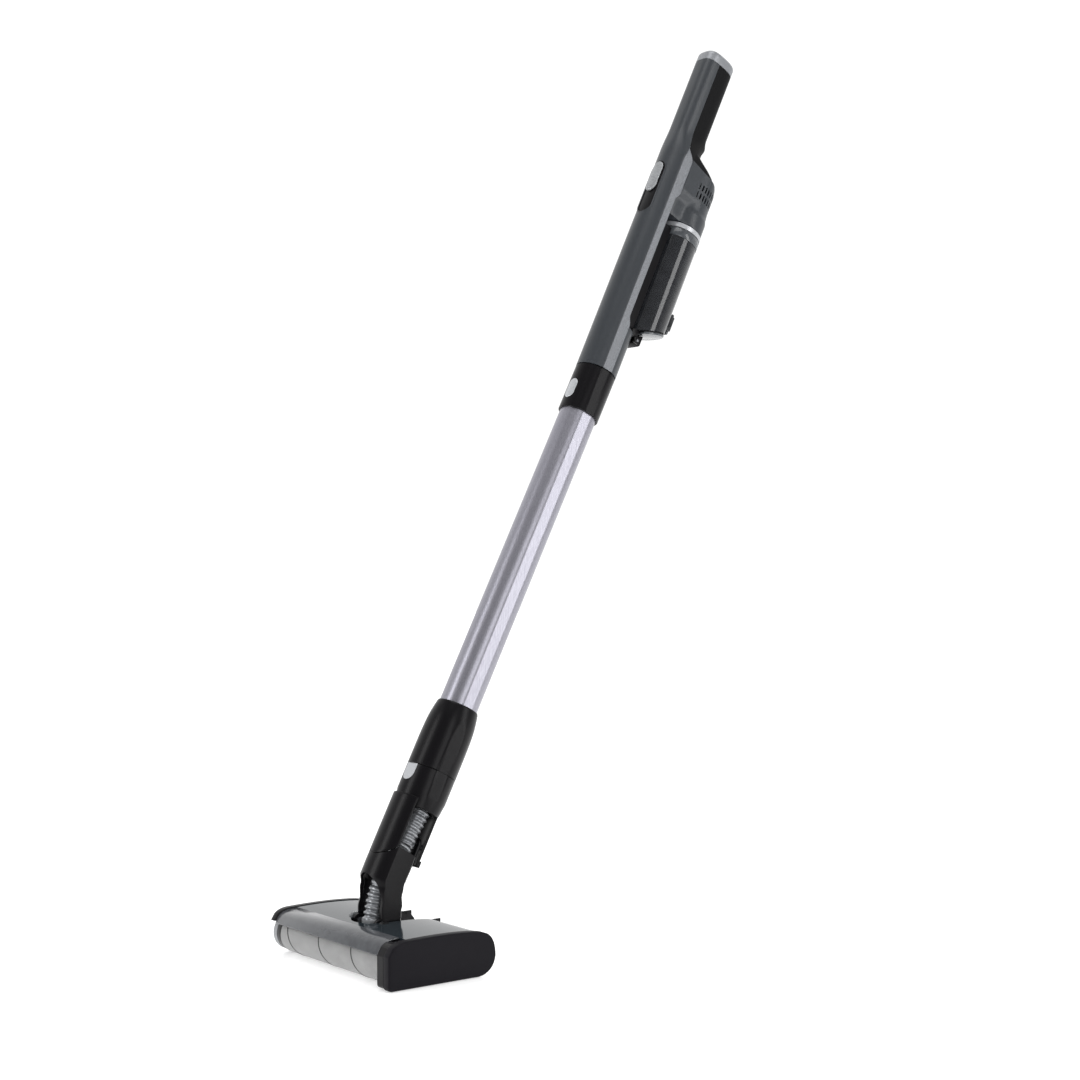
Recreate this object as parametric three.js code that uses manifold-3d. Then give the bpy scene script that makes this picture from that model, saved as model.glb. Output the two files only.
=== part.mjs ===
// Cordless stick vacuum, leaning back on its floor head.
// Units are millimetres. +X is to the right seen from the front, -Y is towards the front of the
// floor head, +Z is up. The origin is the middle of the hand grip.
// The stick is drawn in its own frame, which starts at the head's pitch hinge: z runs up the
// stick (a "station"), y runs towards the back and x is shared with the world.

import * as THREE from 'three';
import { mergeVertices } from 'three/addons/utils/BufferGeometryUtils.js';
import Module from 'manifold-3d';

const wasm = await Module();
wasm.setup();

// ---------------------------------------------------------------- driving dimensions
const LEAN = 27.3; // degrees that the stick leans back from upright
const HANDHELD_TILT = 1.3; // degrees that the handheld leans forward of the wand
const GAP = 0.3; // clearance between fixed neighbours
const RUN = 0.8; // clearance between parts that move on each other
const WALL = 2.2; // wall of the moulded housings
const EPS = 1; // how far a cutting tool passes through a face

// floor head
const HEAD_WIDTH = 245;
const HEAD_DEPTH = 136;
const HEAD_HEIGHT = 50;
const END_CAP = 12;
const HEAD_INSET = 0.8; // how far the middle of the head sits inside the end caps' outline
const ROLLER_RADIUS = 21.5;
const ROLLER_Y = -43.5;
const ROLLER_Z = 21.8;
const BAY_GAP = 2.1; // between the roller's pile and its bay
const CORE_RADIUS = 15;
const WHEEL_RADIUS = 8;
const WHEEL_WIDTH = 7;
const WHEEL_X = 70;
const WHEEL_Y = 50;
const WIPER_Y = -14;
const HOSE_RADIUS = 11.5;
const HOSE_WALL = 1.6;
const COLLAR_Y = -7;
const PIVOT_Y = -14;
const PIVOT_Z = 45;
const PIVOT_PIN = 4;
const RECESS_HALF = 27.5; // half the width of the well that the neck stands in

// yoke and connector, stations up the stick
const LEG_OUT = 24.5;
const LEG_THICK = 8;
const ARM_TOP = 88;
const SWIVEL_Z = 98;
const SWIVEL_PIN = 3;
const TONGUE_RADIUS = 27;
const NECK_OUTER = 30.4;
const NECK_SHELL = 2.4;
const BARREL_LOW = 133;
const BARREL_LOW_RADIUS = 26.4;
const BARREL_RADIUS = 28.6;
const NECK_SEAM = 178;
const SPIGOT_RADIUS = 22;
const SPIGOT_TOP = 222;

// wand
const TUBE_RADIUS = 22.5;
const TUBE_WALL = 1.8;
const TUBE_LOW = 236;
const TUBE_TOP = 650;
const LOWER_CUFF_TOP = 258;
const UPPER_CUFF_LOW = 640;
const HAND_SEAM = 700; // where the handheld meets the wand
const CUFF_RADIUS = 25;
const FLAT_TURN = 6.5; // degrees that the side flats face forward
const FLAT_DEPTH = 0.9; // how deep the side flats are cut
const NOZZLE_RADIUS = 19.3;
const NOZZLE_DEPTH = 32;
const NOZZLE_PLAY = 1.1; // the nozzle leans with the handheld inside its straight socket
const BODY_LOW = HAND_SEAM + 0.9; // bottom edge of the handheld's shells

// handheld, stations up its own slightly tilted axis
const BODY_RADIUS = 25.2;
const CUP_RADIUS = 27;
const CUP_WALL = 2;
const CUP_Y = 42.5;
const CUP_TOP = 921;
const CUP_SLOPE = 0.44; // rise of the cup's bottom towards the back
const CUP_BOTTOM_AT_AXIS = 762; // height of that sloping plane over the body's axis
const DOOR_EDGE_Y = 27; // where the cup's fixed floor ends and its door begins
const DOOR_EDGE_LOW = 764.2;
const HINGE_Y = 31;
const HINGE_Z = 762;
const BODY_BACK = 2.3;
const SHELF_Z = 763;
const RING_HEIGHT = 6.5;
const SHOULDER_Z = 962;
const HOUSING_TOP = 1001;
const HOUSING_RADIUS = 24.5;
const HOUSING_Y = 42;
const HANDLE_LOW = 1045;
const HANDLE_TOP = 1146.5;
const HANDLE_HALF = 17.2;
const HANDLE_FRONT = 23.3;
const HANDLE_BACK = 24.4;
const HANDLE_SQUARE = 3.2; // exponent of the handle's rounded-rectangle outline
const SHELL_SEAM_Y = -9.4; // the front shell ends here, at both sides
const GRIP_SEAM_Y = -5;
const END_CAP_TOP = 1162;
const CELL_RADIUS = 9.2;
const CELL_LENGTH = 65;
const CELL_Y = -9.7;
const CELL_LOW = 806; // underside of the battery pack
const INLET_Z = 791; // middle of the opening from the duct into the cup
const DUCT_RADIUS = 10.3;
const DUCT_Y = -10.8; // the duct runs up the front of the body beside the cup's hinge
const SWITCH_LOW = 947;
const SWITCH_TOP = 989;
const SWITCH_HALF = 9.2;
const BEZEL_LOW = 915.5;
const BEZEL_TOP = 990.8;
const BEZEL_HALF = 11.6;
const GRIP_CENTRE = 1095; // station of the hand grip's middle, the model's origin

// ---------------------------------------------------------------- geometry helpers
const radians = (degrees) => THREE.MathUtils.degToRad(degrees);
const AXES_X = new THREE.Matrix4().makeBasis(
  new THREE.Vector3(0, 1, 0), new THREE.Vector3(0, 0, 1), new THREE.Vector3(1, 0, 0));
const AXES_Y = new THREE.Matrix4().makeBasis(
  new THREE.Vector3(1, 0, 0), new THREE.Vector3(0, 0, 1), new THREE.Vector3(0, -1, 0));

// Turns every face outwards and drops what the solid does not need.
function closed(geometry) {
  const bare = geometry.index ? geometry.toNonIndexed() : geometry.clone();
  bare.deleteAttribute('normal');
  bare.deleteAttribute('uv');
  const merged = mergeVertices(bare, 1e-4);
  const at = merged.attributes.position;
  const index = merged.index.array;
  const corner = [0, 1, 2].map(() => new THREE.Vector3());
  let volume = 0;
  for (let i = 0; i < index.length; i += 3) {
    corner.forEach((point, k) => point.fromBufferAttribute(at, index[i + k]));
    volume += corner[0].dot(corner[1].cross(corner[2]));
  }
  if (volume < 0) {
    for (let i = 0; i < index.length; i += 3) {
      [index[i], index[i + 1]] = [index[i + 1], index[i]];
    }
  }
  return merged;
}

function solidOf(geometry) {
  const merged = closed(geometry);
  return new wasm.Manifold(new wasm.Mesh({
    numProp: 3,
    vertProperties: new Float32Array(merged.attributes.position.array),
    triVerts: new Uint32Array(merged.index.array),
  }));
}

function geometryOf(solid) {
  const mesh = solid.getMesh();
  const geometry = new THREE.BufferGeometry();
  geometry.setAttribute('position', new THREE.BufferAttribute(mesh.vertProperties, 3));
  geometry.setIndex(new THREE.BufferAttribute(mesh.triVerts, 1));
  return geometry;
}

const join = (first, ...rest) => geometryOf(
  rest.reduce((sum, next) => sum.add(solidOf(next)), solidOf(first)));
const cut = (first, ...tools) => geometryOf(
  tools.reduce((sum, tool) => sum.subtract(solidOf(tool)), solidOf(first)));
const common = (first, ...rest) => geometryOf(
  rest.reduce((sum, next) => sum.intersect(solidOf(next)), solidOf(first)));

function box(x0, x1, y0, y1, z0, z1) {
  return new THREE.BoxGeometry(x1 - x0, y1 - y0, z1 - z0)
    .translate((x0 + x1) / 2, (y0 + y1) / 2, (z0 + z1) / 2);
}

function polygon(points) {
  return new THREE.Shape(points.map(([a, b]) => new THREE.Vector2(a, b)));
}

function extrude(shape, length, curveSegments = 12, steps = 1) {
  return new THREE.ExtrudeGeometry(shape, { depth: length, bevelEnabled: false, curveSegments, steps });
}

// Prisms of an outline: prismX reads it as (y, z), prismY as (x, z) and prismZ as (x, y).
function prismX(shape, x0, x1, segments) {
  return extrude(shape, x1 - x0, segments).applyMatrix4(AXES_X).translate(x0, 0, 0);
}
function prismY(shape, y0, y1, segments) {
  return extrude(shape, y1 - y0, segments).applyMatrix4(AXES_Y).translate(0, y1, 0);
}
function prismZ(shape, z0, z1, segments, steps) {
  return extrude(shape, z1 - z0, segments, steps).translate(0, 0, z0);
}

function rodZ(radius, z0, z1, x = 0, y = 0, sides = 20) {
  return new THREE.CylinderGeometry(radius, radius, z1 - z0, sides)
    .rotateX(Math.PI / 2).translate(x, y, (z0 + z1) / 2);
}
function rodX(radius, x0, x1, y, z, sides = 20) {
  return new THREE.CylinderGeometry(radius, radius, x1 - x0, sides)
    .rotateZ(Math.PI / 2).translate((x0 + x1) / 2, y, z);
}
function rodY(radius, y0, y1, x, z, sides = 20) {
  return new THREE.CylinderGeometry(radius, radius, y1 - y0, sides).translate(x, (y0 + y1) / 2, z);
}

// A turned solid about the z axis from (radius, z) points.
function turned(points, sides = 26) {
  const profile = points.map(([r, z]) => new THREE.Vector2(r, z));
  return new THREE.LatheGeometry(profile, sides).rotateX(Math.PI / 2);
}

function ringZ(outer, inner, z0, z1, y = 0, sides = 26) {
  return turned([[inner, z0], [outer, z0], [outer, z1], [inner, z1], [inner, z0]], sides)
    .translate(0, y, 0);
}

// A round-ended slot outline, half wide and from low to high.
function slotOutline(half, low, high) {
  const shape = new THREE.Shape();
  shape.moveTo(half, low + half);
  shape.lineTo(half, high - half);
  shape.absarc(0, high - half, half, 0, Math.PI, false);
  shape.lineTo(-half, low + half);
  shape.absarc(0, low + half, half, Math.PI, 2 * Math.PI, false);
  return shape;
}

// A D outline: straight sides from y0 back to a round end.
function housingOutline(half, y0, yCentre) {
  const shape = new THREE.Shape();
  shape.moveTo(half, y0);
  shape.lineTo(half, yCentre);
  shape.absarc(0, yCentre, half, 0, Math.PI, false);
  shape.lineTo(-half, y0);
  return shape;
}

// Boxes that cut the two side flats, which face a little forward.
function flatCuts(distance, z0, z1) {
  return [1, -1].map((side) => {
    const slab = box(distance, distance + 30, -40, 40, z0 - EPS, z1 + EPS);
    if (side < 0) slab.rotateZ(Math.PI);
    return slab.rotateZ(radians(-side * FLAT_TURN));
  });
}

// Bent steel strip behind a button. Its feet stand at y = base and it rises towards the front.
function leafSpring(base, rise, z) {
  const line = (height, reach) => [-1, -0.6, -0.2, 0.2, 0.6, 1].map(
    (share) => [base - height * (1 - share * share), z + reach * share]);
  return prismX(polygon([...line(rise, 2.8), ...line(rise - 0.4, 2.3).reverse()]), -1.2, 1.2);
}

// A smooth path through (y, z) points.
const pathThrough = (points) => new THREE.CatmullRomCurve3(
  points.map(([y, z]) => new THREE.Vector3(0, y, z)));

function sweep(points, radius, curveSegments, steps) {
  const section = new THREE.Shape();
  section.absarc(0, 0, radius, 0, 2 * Math.PI);
  return new THREE.ExtrudeGeometry(section, {
    curveSegments, steps, bevelEnabled: false, extrudePath: pathThrough(points),
  });
}

function hollowHose(points, steps) {
  const section = new THREE.Shape();
  section.absarc(0, 0, HOSE_RADIUS, 0, 2 * Math.PI);
  const bore = new THREE.Path();
  bore.absarc(0, 0, HOSE_RADIUS - HOSE_WALL, 0, 2 * Math.PI, true);
  section.holes.push(bore);
  return new THREE.ExtrudeGeometry(section, {
    curveSegments: 7, steps, bevelEnabled: false, extrudePath: pathThrough(points),
  });
}

// ---------------------------------------------------------------- finishes
const finish = (color, roughness, metalness = 0) => ({ color, roughness, metalness });
const BLACK = finish('#1f1e22', 0.45);
const GRAPHITE = finish('#3c4046', 0.38);
const SILVER = finish('#b4b3bc', 0.35, 0.9);
const SILVER_PAINT = finish('#b9bcc0', 0.4, 0.3);
const PALE_GREY = finish('#a3a5a7', 0.5);
const SMOKE = finish('#45484d', 0.12);
const WINDOW = finish('#5b5e63', 0.15);
const GLOSS = finish('#3a4046', 0.15);
const PILE = finish('#a2a2a2', 0.95);
const RUBBER = finish('#17171a', 0.8);
const HOSE = finish('#6e7073', 0.35);
const STEEL = finish('#9a9ca0', 0.3, 1);
const CELL_WRAP = finish('#2f6f86', 0.5);
const BOARD = finish('#1f5a3a', 0.6);
const FILTER = finish('#d8d6cf', 0.9);

function addPart(group, name, geometry, look) {
  const material = new THREE.MeshStandardMaterial(look);
  const mesh = new THREE.Mesh(closed(geometry), material);
  mesh.name = name;
  group.add(mesh);
}

// ---------------------------------------------------------------- floor head
const HALF_WIDTH = HEAD_WIDTH / 2;
const FRONT_Y = -HEAD_DEPTH / 2;
const BACK_Y = HEAD_DEPTH / 2;
const RIGHT_INNER = HALF_WIDTH - END_CAP;
const LEFT_INNER = -HALF_WIDTH + END_CAP - 1.5;
const BAY_RADIUS = ROLLER_RADIUS + BAY_GAP;
const COVER_Z = HEAD_HEIGHT - 3.7;
const COUPLER_X = RIGHT_INNER - 12.5;

// Side outline of the head in (y, z), drawn in by an inset all round.
function headOutline(inset) {
  const front = FRONT_Y + inset;
  const back = BACK_Y - inset;
  const top = HEAD_HEIGHT - inset;
  const shape = new THREE.Shape();
  shape.moveTo(front + 5, inset);
  shape.lineTo(back - 22, inset);
  shape.quadraticCurveTo(back - 3, inset + 2, back, 20);
  shape.quadraticCurveTo(back, top - 12, back - 10, top - 6);
  shape.quadraticCurveTo(back - 16, top - 3, back - 26, top - 2);
  shape.quadraticCurveTo(back - 60, top + 1.5, front + 20, top - 1);
  shape.quadraticCurveTo(front + 10, top - 2, front + 5, top - 7);
  shape.lineTo(front, top - 15);
  shape.lineTo(front, inset + 5);
  shape.quadraticCurveTo(front, inset, front + 5, inset);
  return shape;
}

function buildHead(head) {
  const body = prismX(headOutline(HEAD_INSET), LEFT_INNER, RIGHT_INNER - GAP, 6);
  const cavity = prismX(headOutline(HEAD_INSET + WALL), LEFT_INNER + WALL, RIGHT_INNER - GAP - WALL, 6);
  const bay = rodX(BAY_RADIUS, LEFT_INNER - EPS, COUPLER_X + 1, ROLLER_Y, ROLLER_Z, 24);
  const neckWell = box(-RECESS_HALF, RECESS_HALF, PIVOT_Y - 10, BACK_Y + EPS, 22, HEAD_HEIGHT + 2);
  const bossCut = box(-35, 35, PIVOT_Y - 9, PIVOT_Y + 9, 22, HEAD_HEIGHT + 2);

  // chassis: tray, bay wall, suction duct, hinge ribs and wheel houses
  const bayWall = common(
    rodX(BAY_RADIUS + WALL, LEFT_INNER, COUPLER_X + 1 + WALL, ROLLER_Y, ROLLER_Z, 24), body);
  const duct = box(-15, 15, ROLLER_Y + BAY_RADIUS - 6, COLLAR_Y + 15, 4, 37.5);
  const ribs = [1, -1].map((side) => {
    const [inner, outer] = [side * RECESS_HALF, side * (RECESS_HALF + WALL)].sort((a, b) => a - b);
    const plate = box(inner, outer, PIVOT_Y - 6, BACK_Y - 8, 2, COVER_Z - GAP);
    const [low, high] = [side * RECESS_HALF, side * (RECESS_HALF + 5.5)].sort((a, b) => a - b);
    return join(plate, rodX(6.5, low, high, PIVOT_Y, PIVOT_Z, 20));
  });
  const wheelHouses = [1, -1].map((side) => box(side * WHEEL_X - 8, side * WHEEL_X + 8,
    WHEEL_Y - 12, WHEEL_Y + 12, 2, 20));
  const wheelPockets = [1, -1].map((side) => box(side * WHEEL_X - 5, side * WHEEL_X + 5,
    WHEEL_Y - WHEEL_RADIUS - 1.5, WHEEL_Y + WHEEL_RADIUS + 1.5, -EPS, 17.8));
  const tray = join(cut(body, cavity), bayWall, common(wheelHouses[0], body),
    common(wheelHouses[1], body), duct);
  const openings = [
    bay,
    box(LEFT_INNER - EPS, COUPLER_X + 1, FRONT_Y - EPS, ROLLER_Y, -EPS, 50),
    box(LEFT_INNER - EPS, COUPLER_X + 1, ROLLER_Y - EPS, ROLLER_Y + 17, -EPS, 8),
    box(-HEAD_WIDTH, HEAD_WIDTH, -HEAD_DEPTH, HEAD_DEPTH, COVER_Z - GAP, HEAD_HEIGHT + 2),
    neckWell,
    ...wheelPockets,
    rodX(7, COUPLER_X, RIGHT_INNER - 5, ROLLER_Y, ROLLER_Z, 16),
    rodX(2.2, -WHEEL_X - 7, -WHEEL_X + 7, WHEEL_Y, WHEEL_RADIUS, 12),
    rodX(2.2, WHEEL_X - 7, WHEEL_X + 7, WHEEL_Y, WHEEL_RADIUS, 12),
  ];
  const passage = join(box(-11, 11, ROLLER_Y + 15, COLLAR_Y + 9, 9, 24),
    rodZ(HOSE_RADIUS - HOSE_WALL, 20, 40, 0, COLLAR_Y, 24));
  const pinBore = rodX(PIVOT_PIN + GAP, -40, 40, PIVOT_Y, PIVOT_Z, 20);
  const ductAgain = common(duct, box(-15, 15, ROLLER_Y + BAY_RADIUS - 6, BACK_Y, 4, 37.5));
  const wiperSlot = box(LEFT_INNER + 8 - GAP, COUPLER_X - 8 + GAP, WIPER_Y - GAP, WIPER_Y + 2.5 + GAP,
    -EPS, 4);
  const chassis = cut(
    join(cut(tray, ...openings), cut(ductAgain, bay), ...ribs), passage, pinBore, wiperSlot);
  addPart(head, 'head_chassis', chassis, BLACK);

  // hose collar on top of the duct
  addPart(head, 'hose_collar', turned([
    [HOSE_RADIUS - HOSE_WALL, 37.8], [13.2, 37.8], [13.2, 42], [14, 42], [14, 50.3],
    [HOSE_RADIUS - HOSE_WALL, 50.3], [HOSE_RADIUS - HOSE_WALL, 37.8]], 24)
    .translate(0, COLLAR_Y, 0), PALE_GREY);

  // top cover, with the well for the neck, and the smoked strip over the roller
  const coverSlab = common(body, box(-HEAD_WIDTH, HEAD_WIDTH, ROLLER_Y + 3 + GAP, BACK_Y,
    COVER_Z, HEAD_HEIGHT));
  addPart(head, 'head_top_cover', cut(coverSlab, neckWell, bossCut, bay), GLOSS);
  const stripShell = cut(body, prismX(headOutline(HEAD_INSET + WALL), -HEAD_WIDTH, HEAD_WIDTH, 6));
  addPart(head, 'front_window', cut(common(stripShell,
    box(-HEAD_WIDTH, HEAD_WIDTH, FRONT_Y - EPS, ROLLER_Y + 3, HEAD_HEIGHT - 14, HEAD_HEIGHT + 1),
    box(LEFT_INNER, COUPLER_X, FRONT_Y - EPS, BACK_Y, 0, HEAD_HEIGHT + 1)), bay), WINDOW);

  // end caps; the left one is open for the roller
  addPart(head, 'right_end_cap', prismX(headOutline(0), RIGHT_INNER, HALF_WIDTH, 8), BLACK);
  addPart(head, 'left_end_cap', cut(
    prismX(headOutline(0), -HALF_WIDTH, LEFT_INNER - GAP, 8),
    rodX(BAY_RADIUS, -HALF_WIDTH - EPS, LEFT_INNER + EPS, ROLLER_Y, ROLLER_Z, 24),
    box(-HALF_WIDTH - EPS, LEFT_INNER + EPS, FRONT_Y - EPS, ROLLER_Y, -EPS, HEAD_HEIGHT - 14),
    box(-HALF_WIDTH - EPS, LEFT_INNER + EPS, ROLLER_Y - EPS, ROLLER_Y + 17, -EPS, 8)), BLACK);

  // hinge pins between the ribs' bosses and the yoke's legs
  addPart(head, 'pivot_pin_left', rodX(PIVOT_PIN, -RECESS_HALF - 6, -LEG_OUT + LEG_THICK,
    PIVOT_Y, PIVOT_Z, 16), STEEL);
  addPart(head, 'pivot_pin_right', rodX(PIVOT_PIN, LEG_OUT - LEG_THICK, RECESS_HALF + 6,
    PIVOT_Y, PIVOT_Z, 16), STEEL);

  // soft wiper strip behind the roller
  addPart(head, 'rear_squeegee', box(LEFT_INNER + 8, COUPLER_X - 8, WIPER_Y, WIPER_Y + 2.5, 0.3, 3.7), RUBBER);

  // brush motor, belt and the pulleys at the right-hand end
  const motorY = 14;
  const motorZ = 22;
  const beltPlane = COUPLER_X + 6.7;
  addPart(head, 'head_motor', cut(join(
    rodX(13, 42, beltPlane - 6, motorY, motorZ, 24), box(46, 88, motorY - 12, motorY + 12, 3.4, 14)),
  rodX(2.3, 60, beltPlane, motorY, motorZ, 12)), STEEL);
  const belt = new THREE.Shape();
  const beltGap = Math.hypot(motorY - ROLLER_Y, motorZ - ROLLER_Z);
  const beltTurn = Math.atan2(motorZ - ROLLER_Z, motorY - ROLLER_Y);
  const spread = Math.acos((11 - 6) / beltGap);
  const beltLoop = (path, grow) => {
    path.absarc(0, 0, 11 + grow, spread, 2 * Math.PI - spread, false);
    path.absarc(beltGap, 0, 6 + grow, -spread, spread, false);
    path.closePath();
  };
  beltLoop(belt, GAP + 1.3);
  const beltHole = new THREE.Path();
  beltLoop(beltHole, GAP);
  belt.holes.push(beltHole);
  addPart(head, 'drive_belt', extrude(belt, 5, 8).rotateZ(beltTurn).translate(ROLLER_Y, ROLLER_Z, 0)
    .applyMatrix4(AXES_X).translate(beltPlane - 2.5, 0, 0), RUBBER);
  addPart(head, 'motor_pulley', join(rodX(6, beltPlane - 2.8, beltPlane + 2.8, motorY, motorZ, 16),
    rodX(2, 62, beltPlane, motorY, motorZ, 10)), STEEL);
  addPart(head, 'drive_coupler', join(
    rodX(11, beltPlane - 2.8, beltPlane + 2.8, ROLLER_Y, ROLLER_Z, 24),
    rodX(6, COUPLER_X - 8, beltPlane, ROLLER_Y, ROLLER_Z, 6)), BLACK);

  // the roller and the plug that it hangs on
  const rollerLow = -HALF_WIDTH + 9.5;
  const rollerHigh = COUPLER_X - 1;
  addPart(head, 'roller_core', cut(join(
    rodX(CORE_RADIUS, rollerLow, rollerHigh, ROLLER_Y, ROLLER_Z, 24),
    rodX(ROLLER_RADIUS - 1.5, rollerLow, rollerLow + 3, ROLLER_Y, ROLLER_Z, 24)),
  rodX(CORE_RADIUS - 2.5, rollerLow + 30, rollerHigh - 12, ROLLER_Y, ROLLER_Z, 20),
  rodX(6 + GAP, rollerLow - EPS, rollerLow + 40, ROLLER_Y, ROLLER_Z, 16),
  rodX(6.2 + GAP, rollerHigh - 20, rollerHigh + EPS, ROLLER_Y, ROLLER_Z, 16)), BLACK);
  addPart(head, 'roller_sleeve', cut(
    rodX(ROLLER_RADIUS, rollerLow + 3 + GAP, rollerHigh, ROLLER_Y, ROLLER_Z, 24),
    rodX(CORE_RADIUS + GAP, rollerLow, rollerHigh + EPS, ROLLER_Y, ROLLER_Z, 24)), PILE);
  addPart(head, 'roller_end_plug', join(
    rodX(ROLLER_RADIUS - 1, -HALF_WIDTH, rollerLow - RUN, ROLLER_Y, ROLLER_Z, 24),
    rodX(6, -HALF_WIDTH + 1, rollerLow + 24, ROLLER_Y, ROLLER_Z, 16)), PALE_GREY);

  // rear wheels with their stub axles
  for (const [name, side] of [['rear_wheel_left', -1], ['rear_wheel_right', 1]]) {
    addPart(head, name, join(
      rodX(WHEEL_RADIUS, side * WHEEL_X - WHEEL_WIDTH / 2, side * WHEEL_X + WHEEL_WIDTH / 2,
        WHEEL_Y, WHEEL_RADIUS, 24),
      rodX(1.8, side * WHEEL_X - 6.5, side * WHEEL_X + 6.5, WHEEL_Y, WHEEL_RADIUS, 10)), RUBBER);
  }
}

// ---------------------------------------------------------------- yoke
function clippedDisc(radius, half) {
  return common(rodZ(radius, 0, 200, 0, 0, 28), box(-half, half, -60, 60, -EPS, 201));
}

function buildYoke(stick) {
  // leg and arm outline in (y, z); the eye for the hinge pin is at the frame's origin
  const legs = new THREE.Shape();
  legs.moveTo(-8.2, ARM_TOP);
  legs.lineTo(8.8, ARM_TOP);
  legs.lineTo(8.8, 49);
  legs.lineTo(22.2, 14);
  legs.quadraticCurveTo(22.6, 4, 14, -4);
  legs.quadraticCurveTo(6, -9.5, 0, -9.5);
  legs.absarc(0, 0, 9.5, -Math.PI / 2, Math.PI, true);
  legs.lineTo(-8.2, 37);
  const inner = LEG_OUT - LEG_THICK;
  const legPair = [prismX(legs, inner, LEG_OUT, 8), prismX(legs, -LEG_OUT, -inner, 8)];
  const thinner = box(-LEG_OUT + 4, LEG_OUT - 4, -40, 40, 52, 120);
  const block = common(
    join(clippedDisc(NECK_OUTER - NECK_SHELL - 0.7, LEG_OUT - 2.6), prismZ(polygon([
      [-LEG_OUT, -8.2], [LEG_OUT, -8.2], [LEG_OUT, 8.8], [9, 18.6], [-9, 18.6], [-LEG_OUT, 8.8]]), 0, 200)),
    box(-40, 40, -40, 18.6, 54, 66));
  const lug = (half) => slotOutline(half, 55, SWIVEL_Z + half);
  const hoseHole = rodZ(HOSE_RADIUS + 2.2, 20, ARM_TOP + 2, 0, -1.8, 28);
  addPart(stick, 'yoke_frame', cut(
    join(cut(join(legPair[0], legPair[1]), thinner), block,
      prismY(lug(6), -19.8, -16.4, 8), prismY(lug(9), 15.2, 18.6, 8)),
    hoseHole,
    rodX(PIVOT_PIN + GAP, -40, 40, 0, 0, 16),
    rodY(SWIVEL_PIN + GAP, -40, 40, 0, SWIVEL_Z, 16)), BLACK);

  // front cover: a curved shell with a concave top edge and an arched bottom edge
  const shell = cut(clippedDisc(NECK_OUTER - 0.1, LEG_OUT + 0.3),
    clippedDisc(NECK_OUTER - NECK_SHELL - 0.3, LEG_OUT - 2.2).translate(0, 0, -EPS)
      .scale(1, 1, 1.05));
  const side = polygon([[-8.5, 38], [-24, 46], [-40, 46], [-40, 92], [-8.5, ARM_TOP]]);
  addPart(stick, 'yoke_cover', cut(common(shell, prismX(side, -40, 40)),
    rodY(TONGUE_RADIUS + RUN, -60, 60, 0, SWIVEL_Z, 24)), BLACK);

  addPart(stick, 'lower_hose', hollowHose([[-1.6, 22], [-4.4, 45], [-3, 62], [0.4, 85]], 6), HOSE);
}

// ---------------------------------------------------------------- neck connector
// A button outline with a flat top and a round bottom, in (x, z).
function tongueOutline(half, low, high) {
  const shape = new THREE.Shape();
  shape.moveTo(half, high);
  shape.lineTo(-half, high);
  shape.lineTo(-half, low + half);
  shape.absarc(0, low + half, half, Math.PI, 2 * Math.PI, false);
  return shape;
}

function buildNeck(stick) {
  const barrel = turned([[0, BARREL_LOW], [BARREL_LOW_RADIUS, BARREL_LOW], [BARREL_RADIUS, 148],
    [BARREL_RADIUS, NECK_SEAM - GAP], [0, NECK_SEAM - GAP]], 28);
  const band = ringZ(BARREL_LOW_RADIUS + 1.2, 25, 70, BARREL_LOW + 8, 0, 28);
  const frontStrap = common(band, prismY(slotOutline(13, SWIVEL_Z - 22, BARREL_LOW + 30), -40, 0));
  const rearBand = ringZ(26.2, 22.6, 70, BARREL_LOW + 5, 0, 28);
  const rearStrap = common(rearBand, box(-12, 12, 0, 40, 78, BARREL_LOW + 5));
  const hook = box(-9, 9, 22.8, 28, 76, 83);
  addPart(stick, 'connector_barrel', cut(
    join(cut(barrel, rodZ(20, BARREL_LOW - EPS, 151, 0, 0, 24),
      rodZ(SPIGOT_RADIUS + GAP, 149.7, NECK_SEAM + EPS, 0, 0, 26)),
    cut(frontStrap, rodZ(20, 60, NECK_SEAM, 0, 0, 24)), rearStrap, hook),
    rodY(SWIVEL_PIN + GAP, -40, 40, 0, SWIVEL_Z, 16),
    prismY(tongueOutline(9.2 + GAP, 158 - GAP, NECK_SEAM + EPS), -40, -24.6, 10),
    rodY(3.2, -26, -23.4, 0, 169, 14)), BLACK);

  const coverSide = new THREE.Shape();
  coverSide.moveTo(24, 141);
  coverSide.lineTo(-24, 141);
  coverSide.lineTo(-24, SWIVEL_Z);
  const corner = Math.acos(24 / TONGUE_RADIUS);
  coverSide.absarc(0, SWIVEL_Z, TONGUE_RADIUS, Math.PI + corner, 2 * Math.PI - corner, false);
  coverSide.lineTo(24, SWIVEL_Z);
  addPart(stick, 'connector_front_cover', common(
    ringZ(NECK_OUTER, NECK_OUTER - NECK_SHELL, 60, 150, 0, 28),
    prismY(coverSide, -40, -18.4, 14)), BLACK);

  addPart(stick, 'connector_spigot', ringZ(SPIGOT_RADIUS, SPIGOT_RADIUS - 3, 150, SPIGOT_TOP, 0, 26), BLACK);
  addPart(stick, 'upper_hose', hollowHose([[2.6, 107], [4.4, 122], [6.5, 145]], 5), HOSE);
  addPart(stick, 'swivel_pin_front', rodY(SWIVEL_PIN, -NECK_OUTER + NECK_SHELL + 0.4, -16, 0, SWIVEL_Z, 12), STEEL);
  addPart(stick, 'swivel_pin_rear', rodY(SWIVEL_PIN, 14.9, 25.9, 0, SWIVEL_Z, 12), STEEL);

  addPart(stick, 'neck_release_button', common(
    prismY(tongueOutline(9.2, 158, NECK_SEAM - 2 * GAP), -40, -26.7, 10),
    rodZ(BARREL_RADIUS + 0.5, 150, 190, 0, 0, 28)), SILVER_PAINT);
  addPart(stick, 'neck_button_spring', leafSpring(-23.8, 2.6, 169), STEEL);
}

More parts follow.
